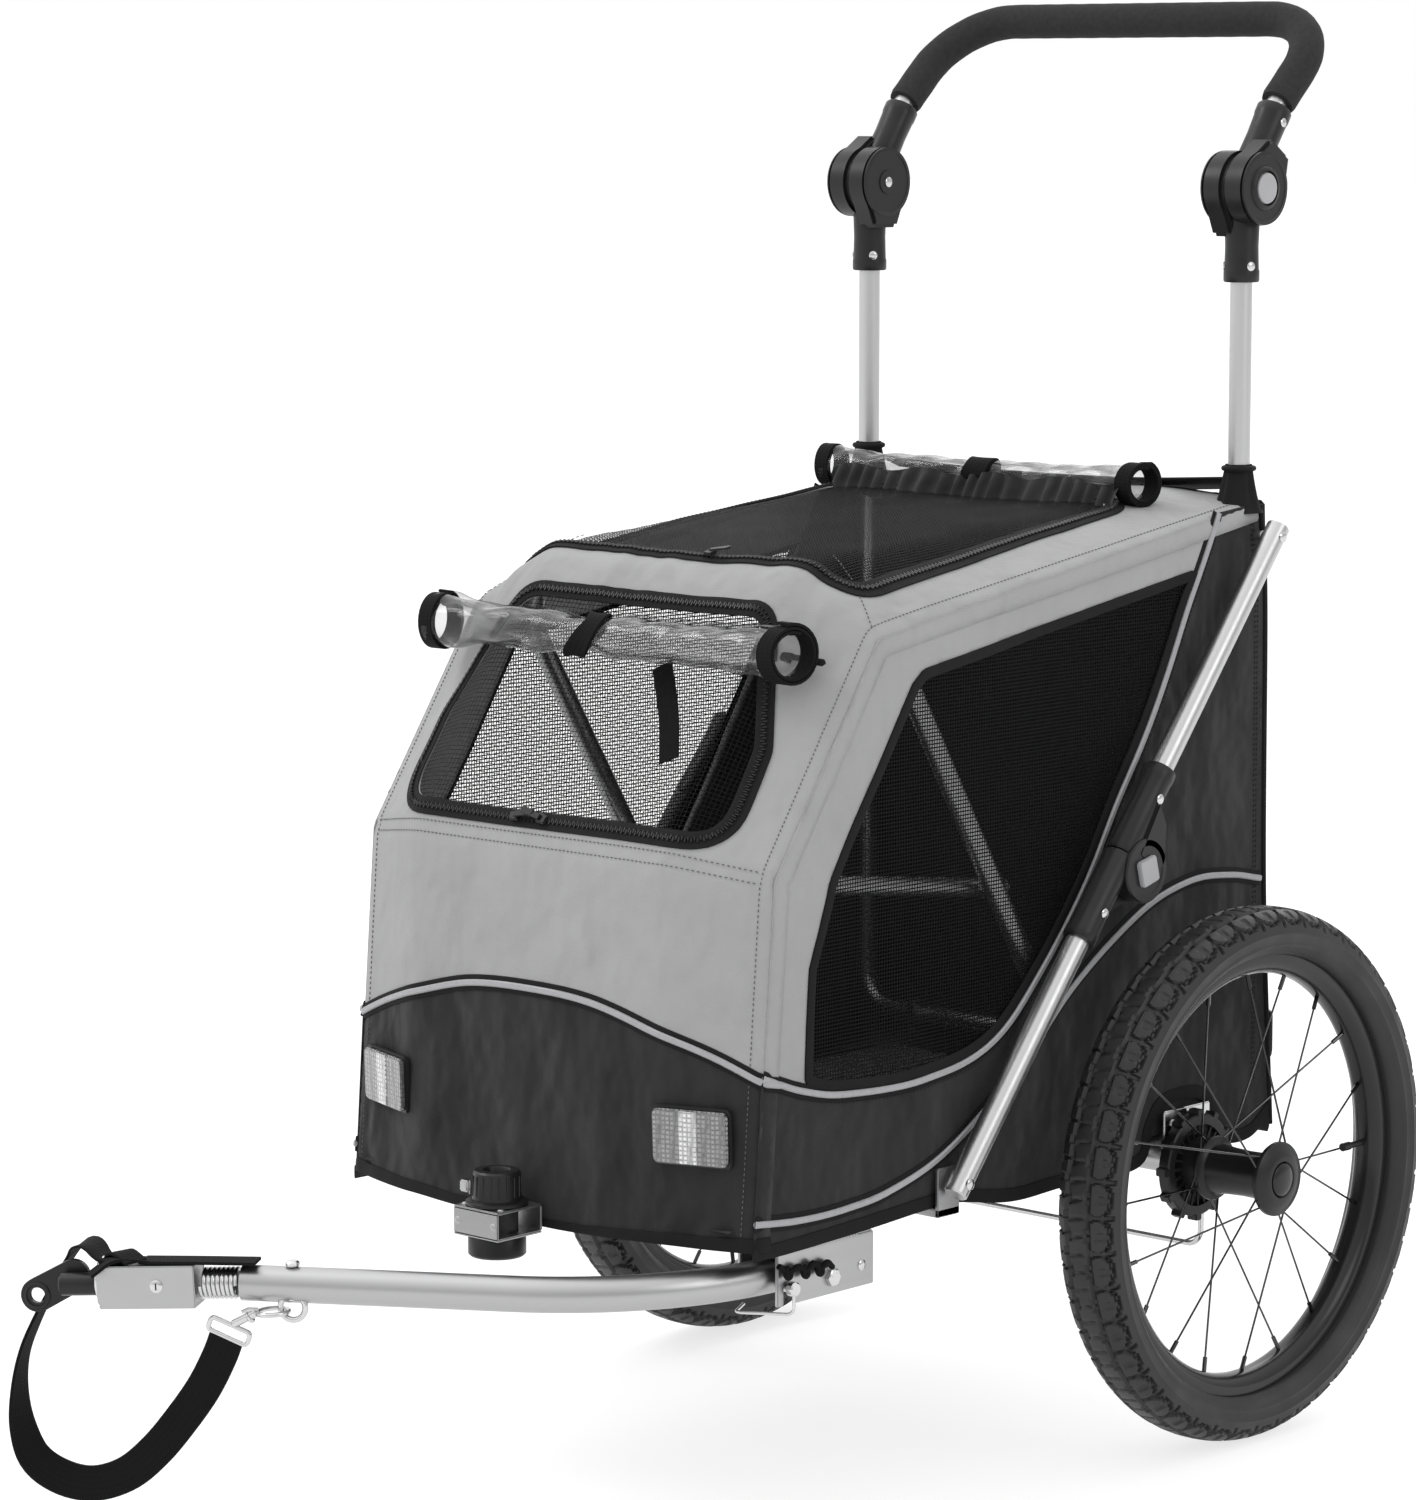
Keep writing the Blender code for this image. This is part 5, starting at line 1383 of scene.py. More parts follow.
# ---------------------------------------------------------------- wheels
def tyre_shape(centre_x):
    """Treaded tyre as rings of points; grooves are cut into the crown."""
    steps, around = 1104, 56
    turns = np.linspace(0, math.tau, steps, endpoint=False)[:, None]
    angles = np.radians(np.linspace(-148, 148, around))[None, :]
    squash = 2 / 2.35
    x = 0.0255 * np.sign(np.sin(angles)) * np.abs(np.sin(angles)) ** squash
    radius = 0.1815 + 0.0185 * np.sign(np.cos(angles)) * np.abs(np.cos(angles)) ** squash
    across = angles / np.radians(66)
    lug = turns * 46 / math.tau
    half = np.where(across < 0, 0.5, 0.0)
    slant = np.mod(lug + half, 1.0)
    arch = 0.42 + 0.60 * np.sqrt(np.clip(1 - (2 * slant - 1) ** 2, 0, 1))
    scallop = np.abs(np.abs(across) - arch) < 0.075
    gap = (np.abs(slant - 0.5) > 0.455) & (np.abs(across) > 0.40) & (np.abs(across) < 1.12)
    notch = (np.abs(slant - 0.5) < 0.10) & (np.abs(across) > 0.50) & (np.abs(across) < 0.80)
    wave = np.abs(np.mod(lug, 1.0) - 0.5)
    channel = np.abs(np.abs(across) - 0.22 - 0.22 * wave) < 0.060
    sipe = (np.mod(2 * lug + 0.6 * across, 1.0) < 0.18) & (np.abs(across) < 0.20)
    deep = np.where(scallop | gap | channel, 0.0024, 0.0)
    depth = deep + np.where((sipe | notch) & ~channel, 0.0012, 0.0)
    sidewall = 0.0007 * (np.abs(np.abs(across) - 1.32) < 0.05)
    sidewall = sidewall + 0.0009 * (np.abs(np.abs(across) - 1.72) < 0.06)
    radius = radius - depth * np.cos(angles * 0.8)
    x = x - depth * np.sin(angles) * 0.9 + sidewall * np.sign(angles)
    y = radius * np.cos(turns)
    z = AXLE_Z + radius * np.sin(turns)
    x = np.broadcast_to(x, y.shape) + centre_x
    verts = np.stack([x, y, z], axis=2).reshape(-1, 3)
    rows = np.arange(steps)[:, None] * around
    after = np.roll(rows, -1, axis=0)
    cols = np.arange(around)[None, :]
    nextcol = np.roll(cols, -1, axis=1)
    faces = np.stack([rows + cols, rows + nextcol, after + nextcol, after + cols], axis=2)
    return verts, faces.reshape(-1, 4)[:, ::-1]


def build_wheel(name, side):
    """Tyre, rim, spokes, hub with its brake ring, valve, release cap and axle plate."""
    body = f"{name}_wheel"
    centre = Vector((side * WHEEL_X, 0, AXLE_Z))
    axis = (side, 0, 0)
    verts, faces = tyre_shape(centre.x)
    put(f"{name}_tyre_rubber", verts, faces, "tyre", body, f"{name}_tyre", None, 35)
    rim_profile = [(-0.0121, 0.1652), (-0.0123, 0.1600), (-0.0118, 0.1572), (-0.0098, 0.1542),
                   (-0.0066, 0.1514), (-0.0030, 0.1502), (0.0030, 0.1502), (0.0066, 0.1514),
                   (0.0098, 0.1542), (0.0118, 0.1572), (0.0123, 0.1600), (0.0121, 0.1652),
                   (0.0104, 0.1655), (0.0094, 0.1600), (0.0050, 0.1560), (-0.0050, 0.1560),
                   (-0.0094, 0.1600), (-0.0104, 0.1655)]
    rim = Soup(lathe(rim_profile, centre, axis, 160, closed=True))
    rim.put(f"{name}_rim_shell", "gloss", body, f"{name}_rim", 30)
    spokes, nipples = Soup(), Soup()
    for flange, (flange_x, flange_radius) in enumerate(((0.2299, 0.0222), (0.2870, 0.0240))):
        for i in range(10):
            angle = math.tau * (i + flange / 2) / 10
            lean = angle + (0.55 if i % 2 else -0.55)
            out = Vector((0, math.cos(angle), math.sin(angle)))
            start = Vector((side * flange_x, flange_radius * math.cos(lean),
                            AXLE_Z + flange_radius * math.sin(lean)))
            end = centre + out * 0.1502
            spokes.add(tube([start, end], 0.0008, 8))
            spokes.add(rod(start - Vector((side * 0.0012, 0, 0)),
                           start + Vector((side * 0.0014, 0, 0)), 0.0017, 10))
            inward = (start - end).normalized()
            nipples.add(tube([end, end + inward * 0.011], 0.0017, 8))
    spokes.put(f"{name}_spokes", "spoke", body)
    nipples.put(f"{name}_nipples", "spoke", body)
    hub_profile = [
        (0.2065, 0.0070), (0.2065, 0.0370), (0.2075, 0.0388), (0.2155, 0.0388), (0.2165, 0.0375),
        (0.2165, 0.0310), (0.2105, 0.0308), (0.2100, 0.0225), (0.2150, 0.0210), (0.2262, 0.0200),
        (0.2275, 0.0208), (0.2282, 0.0238), (0.2292, 0.0244), (0.2308, 0.0244), (0.2318, 0.0238),
        (0.2330, 0.0205), (0.2345, 0.0190), (0.2450, 0.0177), (0.2600, 0.0170), (0.2730, 0.0173),
        (0.2810, 0.0184), (0.2838, 0.0240), (0.2850, 0.0268), (0.2862, 0.0277), (0.2888, 0.0277),
        (0.2902, 0.0262), (0.2915, 0.0215), (0.2930, 0.0192), (0.2932, 0.0140), (0.2925, 0.0133),
        (0.2882, 0.0132), (0.2880, 0.0126), (0.2880, 0.0069),
    ]
    hub = Soup(lathe(hub_profile, (0, 0, AXLE_Z), axis, 72, closed=True))
    for i in range(24):
        turn = math.tau * i / 24
        out = Vector((0, math.cos(turn), math.sin(turn)))
        across = Vector((0, -math.sin(turn), math.cos(turn)))
        if i % 2 == 0:
            spot = Vector((side * 0.2072, 0, AXLE_Z)) + out * 0.0378
            tooth = [(-0.0016, -0.0036), (0.0046, -0.0030), (0.0046, 0.0030), (-0.0016, 0.0036)]
            if side > 0:
                hub.add(slab(tooth, 0.0092, plane(spot, out, across), 0.0006))
            else:
                hub.add(slab([(q, p) for p, q in tooth], 0.0092, plane(spot, across, out), 0.0006))
        rib_start = Vector((side * 0.2145, 0, AXLE_Z)) + out * 0.0195
        hub.add(tube([rib_start, rib_start + out * 0.0115], 0.0012, 6))
    hub.put(f"{name}_hub_shell", "plastic", body, f"{name}_hub", 35)
    valve = Soup(
        tube([centre + Vector((0, 0.1500, 0)), centre + Vector((0, 0.1250, 0))], 0.0024, 14),
        tube([centre + Vector((0, 0.1330, 0)), centre + Vector((0, 0.1245, 0))], 0.0032, 14),
    )
    valve.put(f"{name}_valve", "plastic", body)
    button_start = Vector((side * 0.2872, 0, AXLE_Z))
    cap_profile = [(0.0, 0.0001), (0.0, 0.0061), (0.0043, 0.0062), (0.0043, 0.0122), (0.0050, 0.0125),
                   (0.0060, 0.0122), (0.0068, 0.0108), (0.0076, 0.0080), (0.0081, 0.0040),
                   (0.0082, 0.0001)]
    button = Soup(lathe(cap_profile, button_start, axis, 48))
    button.put(f"{name}_release_cap", "gloss", f"{name}_axle_release",
               f"{name}_axle_button", slot="black_plastic")
    bracket = Soup()
    bracket.add(mirrored_block(side, (0.2012, 0.2042), (-0.028, 0.028), (0.188, 0.243), 0.0009))
    bracket.add(rod((side * 0.2030, 0, AXLE_Z), (side * 0.2832, 0, AXLE_Z), 0.0060))
    for y in (-0.017, 0.017):
        bracket.add(screw((side * 0.2041, y, 0.232), axis, 0.0038, 0.0022))
    bracket.put(f"{name}_axle_plate", "steel", "trailer", f"{name}_axle_bracket")


# ---------------------------------------------------------------- frame, hoops and handle
UPRIGHT = Vector((0.184, 0.080, 0.0))
PIVOT = Vector((0.0, 0.080, 0.9265))
KNEE = Vector((0.0, 0.1234, 0.9916))
TOP = Vector((0.0, 0.190, 1.053))


def build_base():
    """Base tubes, cross tubes and welded lugs."""
    corners = [(0, -0.460), (0.176, -0.460), (0.176, 0.095), (-0.176, 0.095), (-0.176, -0.460),
               (0, -0.460)]
    path = fillet([(x, y, 0.214) for x, y in corners], 0.045, 8)[:-1]
    base = Soup(tube(path, 0.009, 24, closed=True))
    for y in (-0.330, -0.150):
        base.add(rod((-0.172, y, 0.214), (0.172, y, 0.214), 0.008))
    base.add(rod((-0.2006, 0, AXLE_Z), (0.2006, 0, AXLE_Z), 0.010))
    base.add(cuboid((-0.012, -0.503, 0.2045), (0.012, -0.460, 0.2115)))
    lugs = (
        ((0.172, 0.2042), (-0.290, -0.266), (0.2055, 0.2115)),
        ((0.2012, 0.2042), (-0.290, -0.266), (0.2055, 0.241)),
        ((0.117, 0.123), (0.060, 0.102), (0.212, 0.276)),
        ((0.1385, 0.1425), (-0.024, 0.004), (0.200, 0.242)),
        ((0.1865, 0.1905), (0.021, 0.041), (0.192, 0.2135)),
        ((0.1780, 0.1905), (0.021, 0.041), (0.206, 0.2135)),
    )
    for _, side in SIDES:
        for x, y, z in lugs:
            base.add(mirrored_block(side, x, y, z, 0.0007))
    base.put("base_tubes", "tow_tube", "trailer", "base_frame")


def build_hoops():
    """Cabin hoop, nose hoop and the brake wire under the axle."""
    feet = [(0.180, -0.078, 0.232), (0.180, -0.340, 0.655), (-0.180, -0.340, 0.655),
            (-0.180, -0.078, 0.232)]
    Soup(tube(fillet(feet, 0.085, 16), 0.008, 24)).put("hoop_tube", "tube", "hoop", "front_hoop")
    ends = [(0.162, -0.1696, 0.4243), (0.162, -0.470, 0.462), (-0.162, -0.470, 0.462),
            (-0.162, -0.1696, 0.4243)]
    nose = Soup(tube(fillet(ends, 0.045, 12), 0.007, 24))
    for _, side in SIDES:
        nose.add(rod((side * 0.162, -0.1994, 0.428), (side * 0.1715, -0.1994, 0.428), 0.003))
    nose.put("nose_tube", "tube", "nose", "nose_hoop")
    legs = [(0.1945, 0.031, 0.200), (0.1945, 0.031, 0.130), (-0.1945, 0.031, 0.130),
            (-0.1945, 0.031, 0.200)]
    brake = Soup(tube(fillet(legs, 0.012, 10), 0.00225, 16))
    for _, side in SIDES:
        brake.add(ring((side * 0.1945, 0.031, 0.200), (1, 0, 0), 0.0042, 0.0019))
    brake.put("brake_wire", "steel", "brake", "brake_bar")


def sleeve_profile(length, radius, start):
    """Moulded sleeve that thickens to a lip at its mouth."""
    return [(start, 0.0001), (start, radius * 0.90), (start + 0.003, radius * 0.98),
            (length * 0.62, radius * 0.93), (length - 0.010, radius * 0.96),
            (length - 0.008, radius), (length - 0.0012, radius), (length, radius * 0.94),
            (length, 0.0088), (length - 0.006, 0.0086)]


def build_pivot(name, side, which):
    """One half of a handle joint: a flat disc that runs into a sleeve on the tube."""
    lower = which == "lower"
    direction = Vector((0, 0, -1)) if lower else (KNEE - PIVOT).normalized()
    near, far = (0.1655, 0.1850) if lower else (0.1855, 0.2050)
    body = "rear_frame" if lower else "handlebar"
    u = direction
    v = Vector((side, 0, 0)).cross(u)
    shell = Soup()
    outline = teardrop(0.0278, 0.036, 0.0135)
    shell.add(slab(outline, far - near, plane(Vector((side * near, PIVOT.y, PIVOT.z)), u, v), 0.0028))
    face = side * (near if lower else far)
    outward = (-side, 0, 0) if lower else (side, 0, 0)
    rim = [(-0.0010, 0.0276), (0.0004, 0.0272), (0.0006, 0.0245), (-0.0004, 0.0236), (-0.0010, 0.0236)]
    shell.add(lathe(rim, (face, PIVOT.y, PIVOT.z), outward, 60, closed=True))
    if not lower:
        cup = [(-0.0030, 0.0175), (0.0006, 0.0168), (0.0022, 0.0150), (0.0024, 0.0130),
               (-0.0030, 0.0127)]
        shell.add(lathe(cup, (face, PIVOT.y, PIVOT.z), outward, 60, closed=True))
    else:
        boss = [(-0.001, 0.0100), (0.0008, 0.0095), (0.0010, 0.0001)]
        shell.add(lathe(boss, (face, PIVOT.y, PIVOT.z), outward, 40))
    stem = Vector((side * UPRIGHT.x, PIVOT.y, PIVOT.z))
    shell.add(lathe(sleeve_profile(0.070, 0.0135, 0.020), stem, u, 44))
    shell.put(f"{name}_{which}_joint", "plastic", body, f"{name}_{which}_pivot", 38)
    heads = Soup()
    side_out = Vector((side * 0.93, -0.36, 0)).normalized() if lower else Vector((side, 0, 0))
    heads.add(screw(stem + u * 0.058 + side_out * 0.0128, side_out, 0.0034, 0.0014))
    if lower:
        heads.add(screw(Vector((face, PIVOT.y, PIVOT.z)) - Vector((side * 0.0009, 0, 0)), outward,
                        0.0040, 0.0014))
        other = Vector((-side * 0.8, -0.6, 0)).normalized()
        heads.add(screw(stem + u * 0.058 + other * 0.0128, other, 0.0034, 0.0014))
    heads.put(f"{name}_{which}_joint_screws", "steel", body)


def build_handle():
    """Uprights, push handle, grip, and the joints between them."""
    legs = [(0.184, 0.080, 0.8945), (0.184, 0.080, 0.262), (-0.184, 0.080, 0.262),
            (-0.184, 0.080, 0.8945)]
    uprights = Soup(tube(fillet(legs, 0.030, 10), 0.0083, 28))
    for _, side in SIDES:
        uprights.add(rod((side * 0.186, 0.083, 0.667), (side * 0.2057, 0.083, 0.667), 0.004))
    uprights.put("upright_tubes", "tube", "rear_frame", "upright_frame")
    direction = (KNEE - PIVOT).normalized()
    start = PIVOT + direction * 0.032
    half = [Vector((0.184, p.y, p.z)) for p in (start, KNEE, TOP)]
    path = half + [Vector((-p.x, p.y, p.z)) for p in reversed(half)]
    Soup(tube(fillet(path, 0.058, 10), 0.0083, 24)).put("handle_bar", "tube", "handlebar",
                                                        "handle_tube")
    first = PIVOT + direction * 0.075
    grip = [Vector((0.184, first.y, first.z)), path[2], path[3], Vector((-0.184, first.y, first.z))]
    curve = resample([tuple(p) for p in fillet(grip, 0.058, 12)], 0.004)

    def girth(t):
        rim = min(t, 1 - t)
        return 0.0135 * (0.93 + 0.07 * min(1.0, rim / 0.004)) * (1 + 0.006 * math.sin(140 * t))

    Soup(tube(curve, girth, 32)).put("grip_sleeve", "foam", "handlebar", "foam_grip", 60)
    for name, side in SIDES:
        build_pivot(name, side, "lower")
        build_pivot(name, side, "upper")
        x = Vector((side * 0.1990, PIVOT.y, PIVOT.z))
        cap = [(0.0, 0.0001), (0.0, 0.0112), (0.0070, 0.0118), (0.0085, 0.0112), (0.0094, 0.0092),
               (0.0096, 0.0001)]
        button = Soup(lathe(cap, x, (side, 0, 0), 48))
        button.put(f"{name}_joint_button", "grey_plastic", f"{name}_handle_release",
                   f"{name}_handle_button")


# ---------------------------------------------------------------- struts
def build_strut(name, side):
    """Folding side strut: two tubes that meet at an elbow with a lock button."""
    foot = Vector((side * 0.215, -0.278, 0.231))
    head = Vector((side * 0.215, 0.083, 0.667))
    along = (head - foot).normalized()
    behind = Vector((0, along.z, -along.y))
    gap = foot + (head - foot) * 0.494
    elbow = gap + behind * 0.0195
    lower, upper, catch = f"{name}_lower_arm", f"{name}_upper_arm", f"{name}_elbow_release"
    out = Vector((side, 0, 0))
    for body, start, end, node in ((lower, foot - along * 0.010, gap - along * 0.0230, "lower_strut"),
                                   (upper, gap + along * 0.0230, head + along * 0.010, "upper_strut")):
        bar = Soup(rod(start, end, 0.0088, 36, 0.0012))
        bar.put(f"{name}_{node}_tube", "tube", body, f"{name}_{node}")
    Soup(screw(foot + out * 0.0085, out, 0.0042, 0.0017)).put(f"{name}_foot_rivet", "steel", lower)
    Soup(screw(head + out * 0.0085, out, 0.0042, 0.0017)).put(f"{name}_head_rivet", "steel", upper)
    for which, body, sign, near, far in (("lower", lower, -1, 0.2010, 0.2147),
                                         ("upper", upper, 1, 0.2153, 0.2290)):
        u = along * sign
        shell = Soup(lathe(sleeve_profile(0.075, 0.0125, 0.0006), gap, u, 44))
        disc = [(0, 0.0001), (0, 0.0228), (0.0012, 0.0240), (far - near - 0.0012, 0.0240),
                (far - near, 0.0228), (far - near, 0.0185), (far - near - 0.0006, 0.0180),
                (far - near - 0.0006, 0.0001)]
        shell.add(lathe(disc, (side * near, elbow.y, elbow.z), out, 56))
        v = out.cross(u)
        centre = Vector((side * near, elbow.y, elbow.z))
        arm = [(0.004, -0.0150 * v.dot(behind)), (0.048, -0.0200 * v.dot(behind)),
               (0.040, -0.0020 * v.dot(behind)), (0.0180, 0.0140 * v.dot(behind)),
               (0.004, 0.0150 * v.dot(behind))]
        if v.dot(behind) < 0:
            arm = arm[::-1]
        shell.add(slab(arm, far - near, plane(centre, u, v), 0.0015))
        shell.put(f"{name}_{which}_elbow_shell", "plastic", body,
                  f"{name}_{which}_elbow", 38)
        rivets = Soup(screw(gap + u * 0.050 + out * 0.0117, out, 0.0038, 0.0016))
        rivets.put(f"{name}_{which}_elbow_rivet", "steel", body)
    turn = math.radians(15)
    u = Vector((0, math.cos(turn), math.sin(turn)))
    v = out.cross(u)
    diamond = [(-0.0098, -0.0098), (0.0098, -0.0098), (0.0098, 0.0098), (-0.0098, 0.0098)]
    rounded = [tuple(p) for p in rounded_outline(diamond, 0.0024, 0.0015)]
    button = Soup(slab(rounded, 0.0085, plane(Vector((side * 0.2235, elbow.y, elbow.z)), u, v), 0.0012))
    button.put(f"{name}_elbow_diamond", "grey_plastic", catch, f"{name}_elbow_button")


# ---------------------------------------------------------------- front bracket
def build_front_bracket():
    """Folded bracket at the nose with the front wheel's socket and its catch."""
    middle = Vector((0, -0.5275, 0))
    metal = Soup(
        cuboid((-0.022, -0.549, 0.2220), (0.022, -0.5045, 0.2240)),
        cuboid((-0.022, -0.549, 0.2030), (0.022, -0.5045, 0.2050)),
        cuboid((-0.022, -0.549, 0.2042), (0.022, -0.547, 0.2228)),
        cuboid((-0.0215, -0.5055, 0.2045), (0.0215, -0.5035, 0.2225)),
    )
    for x in (-0.0175, 0.0175):
        metal.add(screw((x, -0.541, 0.2238), (0, 0, 1), 0.0028, 0.0016))
        metal.add(screw((x, -0.5485, 0.2135), (0, -1, 0), 0.0028, 0.0012))
    metal.put("bracket_plates", "sheet_metal", "trailer", "front_bracket", slot="steel")
    profile = [
        (0.1885, 0.0085), (0.1880, 0.0190), (0.1895, 0.0205), (0.2015, 0.0205), (0.2027, 0.0195),
        (0.2030, 0.0150), (0.2240, 0.0150), (0.2244, 0.0212), (0.2250, 0.0222), (0.2270, 0.0222),
        (0.2276, 0.0210), (0.2285, 0.0176), (0.2400, 0.0172), (0.2475, 0.0168), (0.2488, 0.0155),
        (0.2490, 0.0100), (0.2470, 0.0087), (0.1900, 0.0085),
    ]
    socket = Soup(lathe(profile, middle, (0, 0, 1), 64, closed=True))
    for i in range(18):
        turn = math.tau * i / 18
        out = Vector((math.cos(turn), math.sin(turn), 0))
        foot = middle + out * 0.0172
        socket.add(tube([foot + Vector((0, 0, 0.2310)), foot + Vector((0, 0, 0.2455))], 0.0008, 6))
    socket.put("stem_socket", "plastic", "trailer", "front_socket")
    catch = Soup(
        cuboid((-0.0320, -0.5335, 0.2295), (-0.0235, -0.5215, 0.2380), 0.0012),
        cuboid((-0.0245, -0.5315, 0.2284), (-0.0228, -0.5235, 0.2380), 0.0004),
    )
    catch.put("catch_tab", "steel", "front_release", "front_catch")


# ---------------------------------------------------------------- tow bar and coupling
TOW_CORNER = Vector((0.171, -0.533, 0.184))
TOW_END = Vector((-0.081, -0.694, 0.184))
BOLT = Vector((0.0, -0.388, 0.178))
PIN = Vector((0.0, -0.433, 0.178))


def coupling_axes():
    """Directions along the coupling, out to its side and up, with the coupling tipped by 3 degrees."""
    level = (TOW_END - TOW_CORNER).normalized()
    side = Vector((-level.y, level.x, 0))
    along = Matrix.Rotation(math.radians(3.0), 3, side) @ level
    return along, side, along.cross(side)


ALONG, OUTWARD, OVER = coupling_axes()


def at(s, lateral=0.0, up=0.0):
    """Point in the coupling's own axes, measured from the tow bar's end."""
    return TOW_END + ALONG * s + OUTWARD * lateral + OVER * up


def build_receiver():
    """Channel that takes the tow bar, with its bolt, welds and pin lanyard."""
    x0, x1, y0, y1, z0, z1 = 0.152, 0.190, -0.444, -0.343, 0.166, 0.2045
    metal = Soup(cuboid((x0, y0, z1 - 0.003), (x1, y1, z1), 0.0010))
    for near, far in ((x0, x0 + 0.003), (x1 - 0.003, x1)):
        outline = [(y0, z1 - 0.001), (y0, z0), (PIN.y - 0.0046, z0), (PIN.y - 0.0046, PIN.z),
                   (PIN.y, PIN.z + 0.0044), (PIN.y + 0.0052, PIN.z), (PIN.y + 0.0070, z0), (y1, z0),
                   (y1, z1 - 0.001)]
        wall = plane((near, 0, 0), (0, 1, 0), (0, 0, 1))
        metal.add(slab(outline, far - near, wall, 0.0006))
    bead = [(x1 - 0.001, y0 + 0.012 + 0.003 * i, z1 + 0.0002) for i in range(24)]
    for point in bead:
        metal.add(tube([point, (point[0], point[1] + 0.0022, point[2])], 0.0016, 8))
    metal.put("receiver_channel", "sheet_metal", "trailer", "tow_receiver")
    bolts = Soup(
        rod((x0 - 0.004, BOLT.y, BOLT.z), (x1 + 0.004, BOLT.y, BOLT.z), 0.0040),
        lathe([(0, 0.0001), (0, 0.0066), (0.0030, 0.0066), (0.0036, 0.0058), (0.0036, 0.0001)],
               (x1 + 0.0002, BOLT.y, BOLT.z), (1, 0, 0), 6),
        screw((x1 - 0.0002, -0.356, 0.181), (1, 0, 0), 0.0040, 0.0018),
    )
    bolts.put("receiver_bolts", "steel", "trailer")
    knots = Soup()
    rope = [(0.1925, -0.446, 0.196), (0.1940, -0.438, 0.190), (0.1945, -0.428, 0.193),
            (0.1940, -0.420, 0.188), (0.1945, -0.412, 0.193), (0.1940, -0.405, 0.187),
            (0.1945, -0.398, 0.191), (0.1925, -0.390, 0.186)]
    knots.add(tube(smooth_curve(rope, 0.002), 0.0022, 10))
    for centre in (rope[1], rope[3], rope[5]):
        knots.add(ring(Vector(centre), (1, 0.2, 0.3), 0.0034, 0.0020, 20, 8))
    knots.put("pin_lanyard", "webbing", "trailer")


def build_tow_bar():
    """Bent tow tube with its eye, locking pin and the coupling's spring."""
    start = Vector((0.171, -0.3785, 0.184))
    bar = Soup(tube(fillet([start, TOW_CORNER, TOW_END], 0.200, 20), 0.0125, 36))
    bar.put("tow_tube", "tow_tube", "towing_arm", "tow_bar")
    eye = Soup(
        ring(at(-0.036, 0.006, -0.0165), OUTWARD, 0.0088, 0.0022),
        rod(at(-0.036, 0.006, -0.012), at(-0.036, 0.006, -0.006), 0.0030),
        rod(at(-0.036, 0.000, 0.0105), at(-0.036, 0.000, 0.0150), 0.0050, 24, 0.0014),
    )
    eye.put("eye_bolt", "steel", "towing_arm")
    wire = Soup(
        rod((0.1490, PIN.y, PIN.z), (0.1950, PIN.y, PIN.z), 0.0030),
        rod((0.1912, PIN.y, PIN.z), (0.1975, PIN.y, PIN.z), 0.0052, 28, 0.0010),
    )
    bail = [(0.1950, PIN.y, PIN.z), (0.1950, PIN.y, 0.160), (0.1600, PIN.y - 0.022, 0.160),
            (0.1480, PIN.y, 0.160)]
    wire.add(tube(fillet(bail, 0.005, 8), 0.0012, 12))
    wire.put("pin_and_bail", "steel", "pin", "tow_pin")
    coils = Soup()
    count, steps = 8.0, 260
    path = []
    for i in range(steps + 1):
        t = i / steps
        angle = math.tau * count * t
        path.append(at(0.0026 + 0.0258 * t, 0.0098 * math.cos(angle), 0.0098 * math.sin(angle)))
    coils.add(tube(path, 0.00160, 10))
    coils.put("spring_coils", "steel", "coupling", "tow_spring", 60)


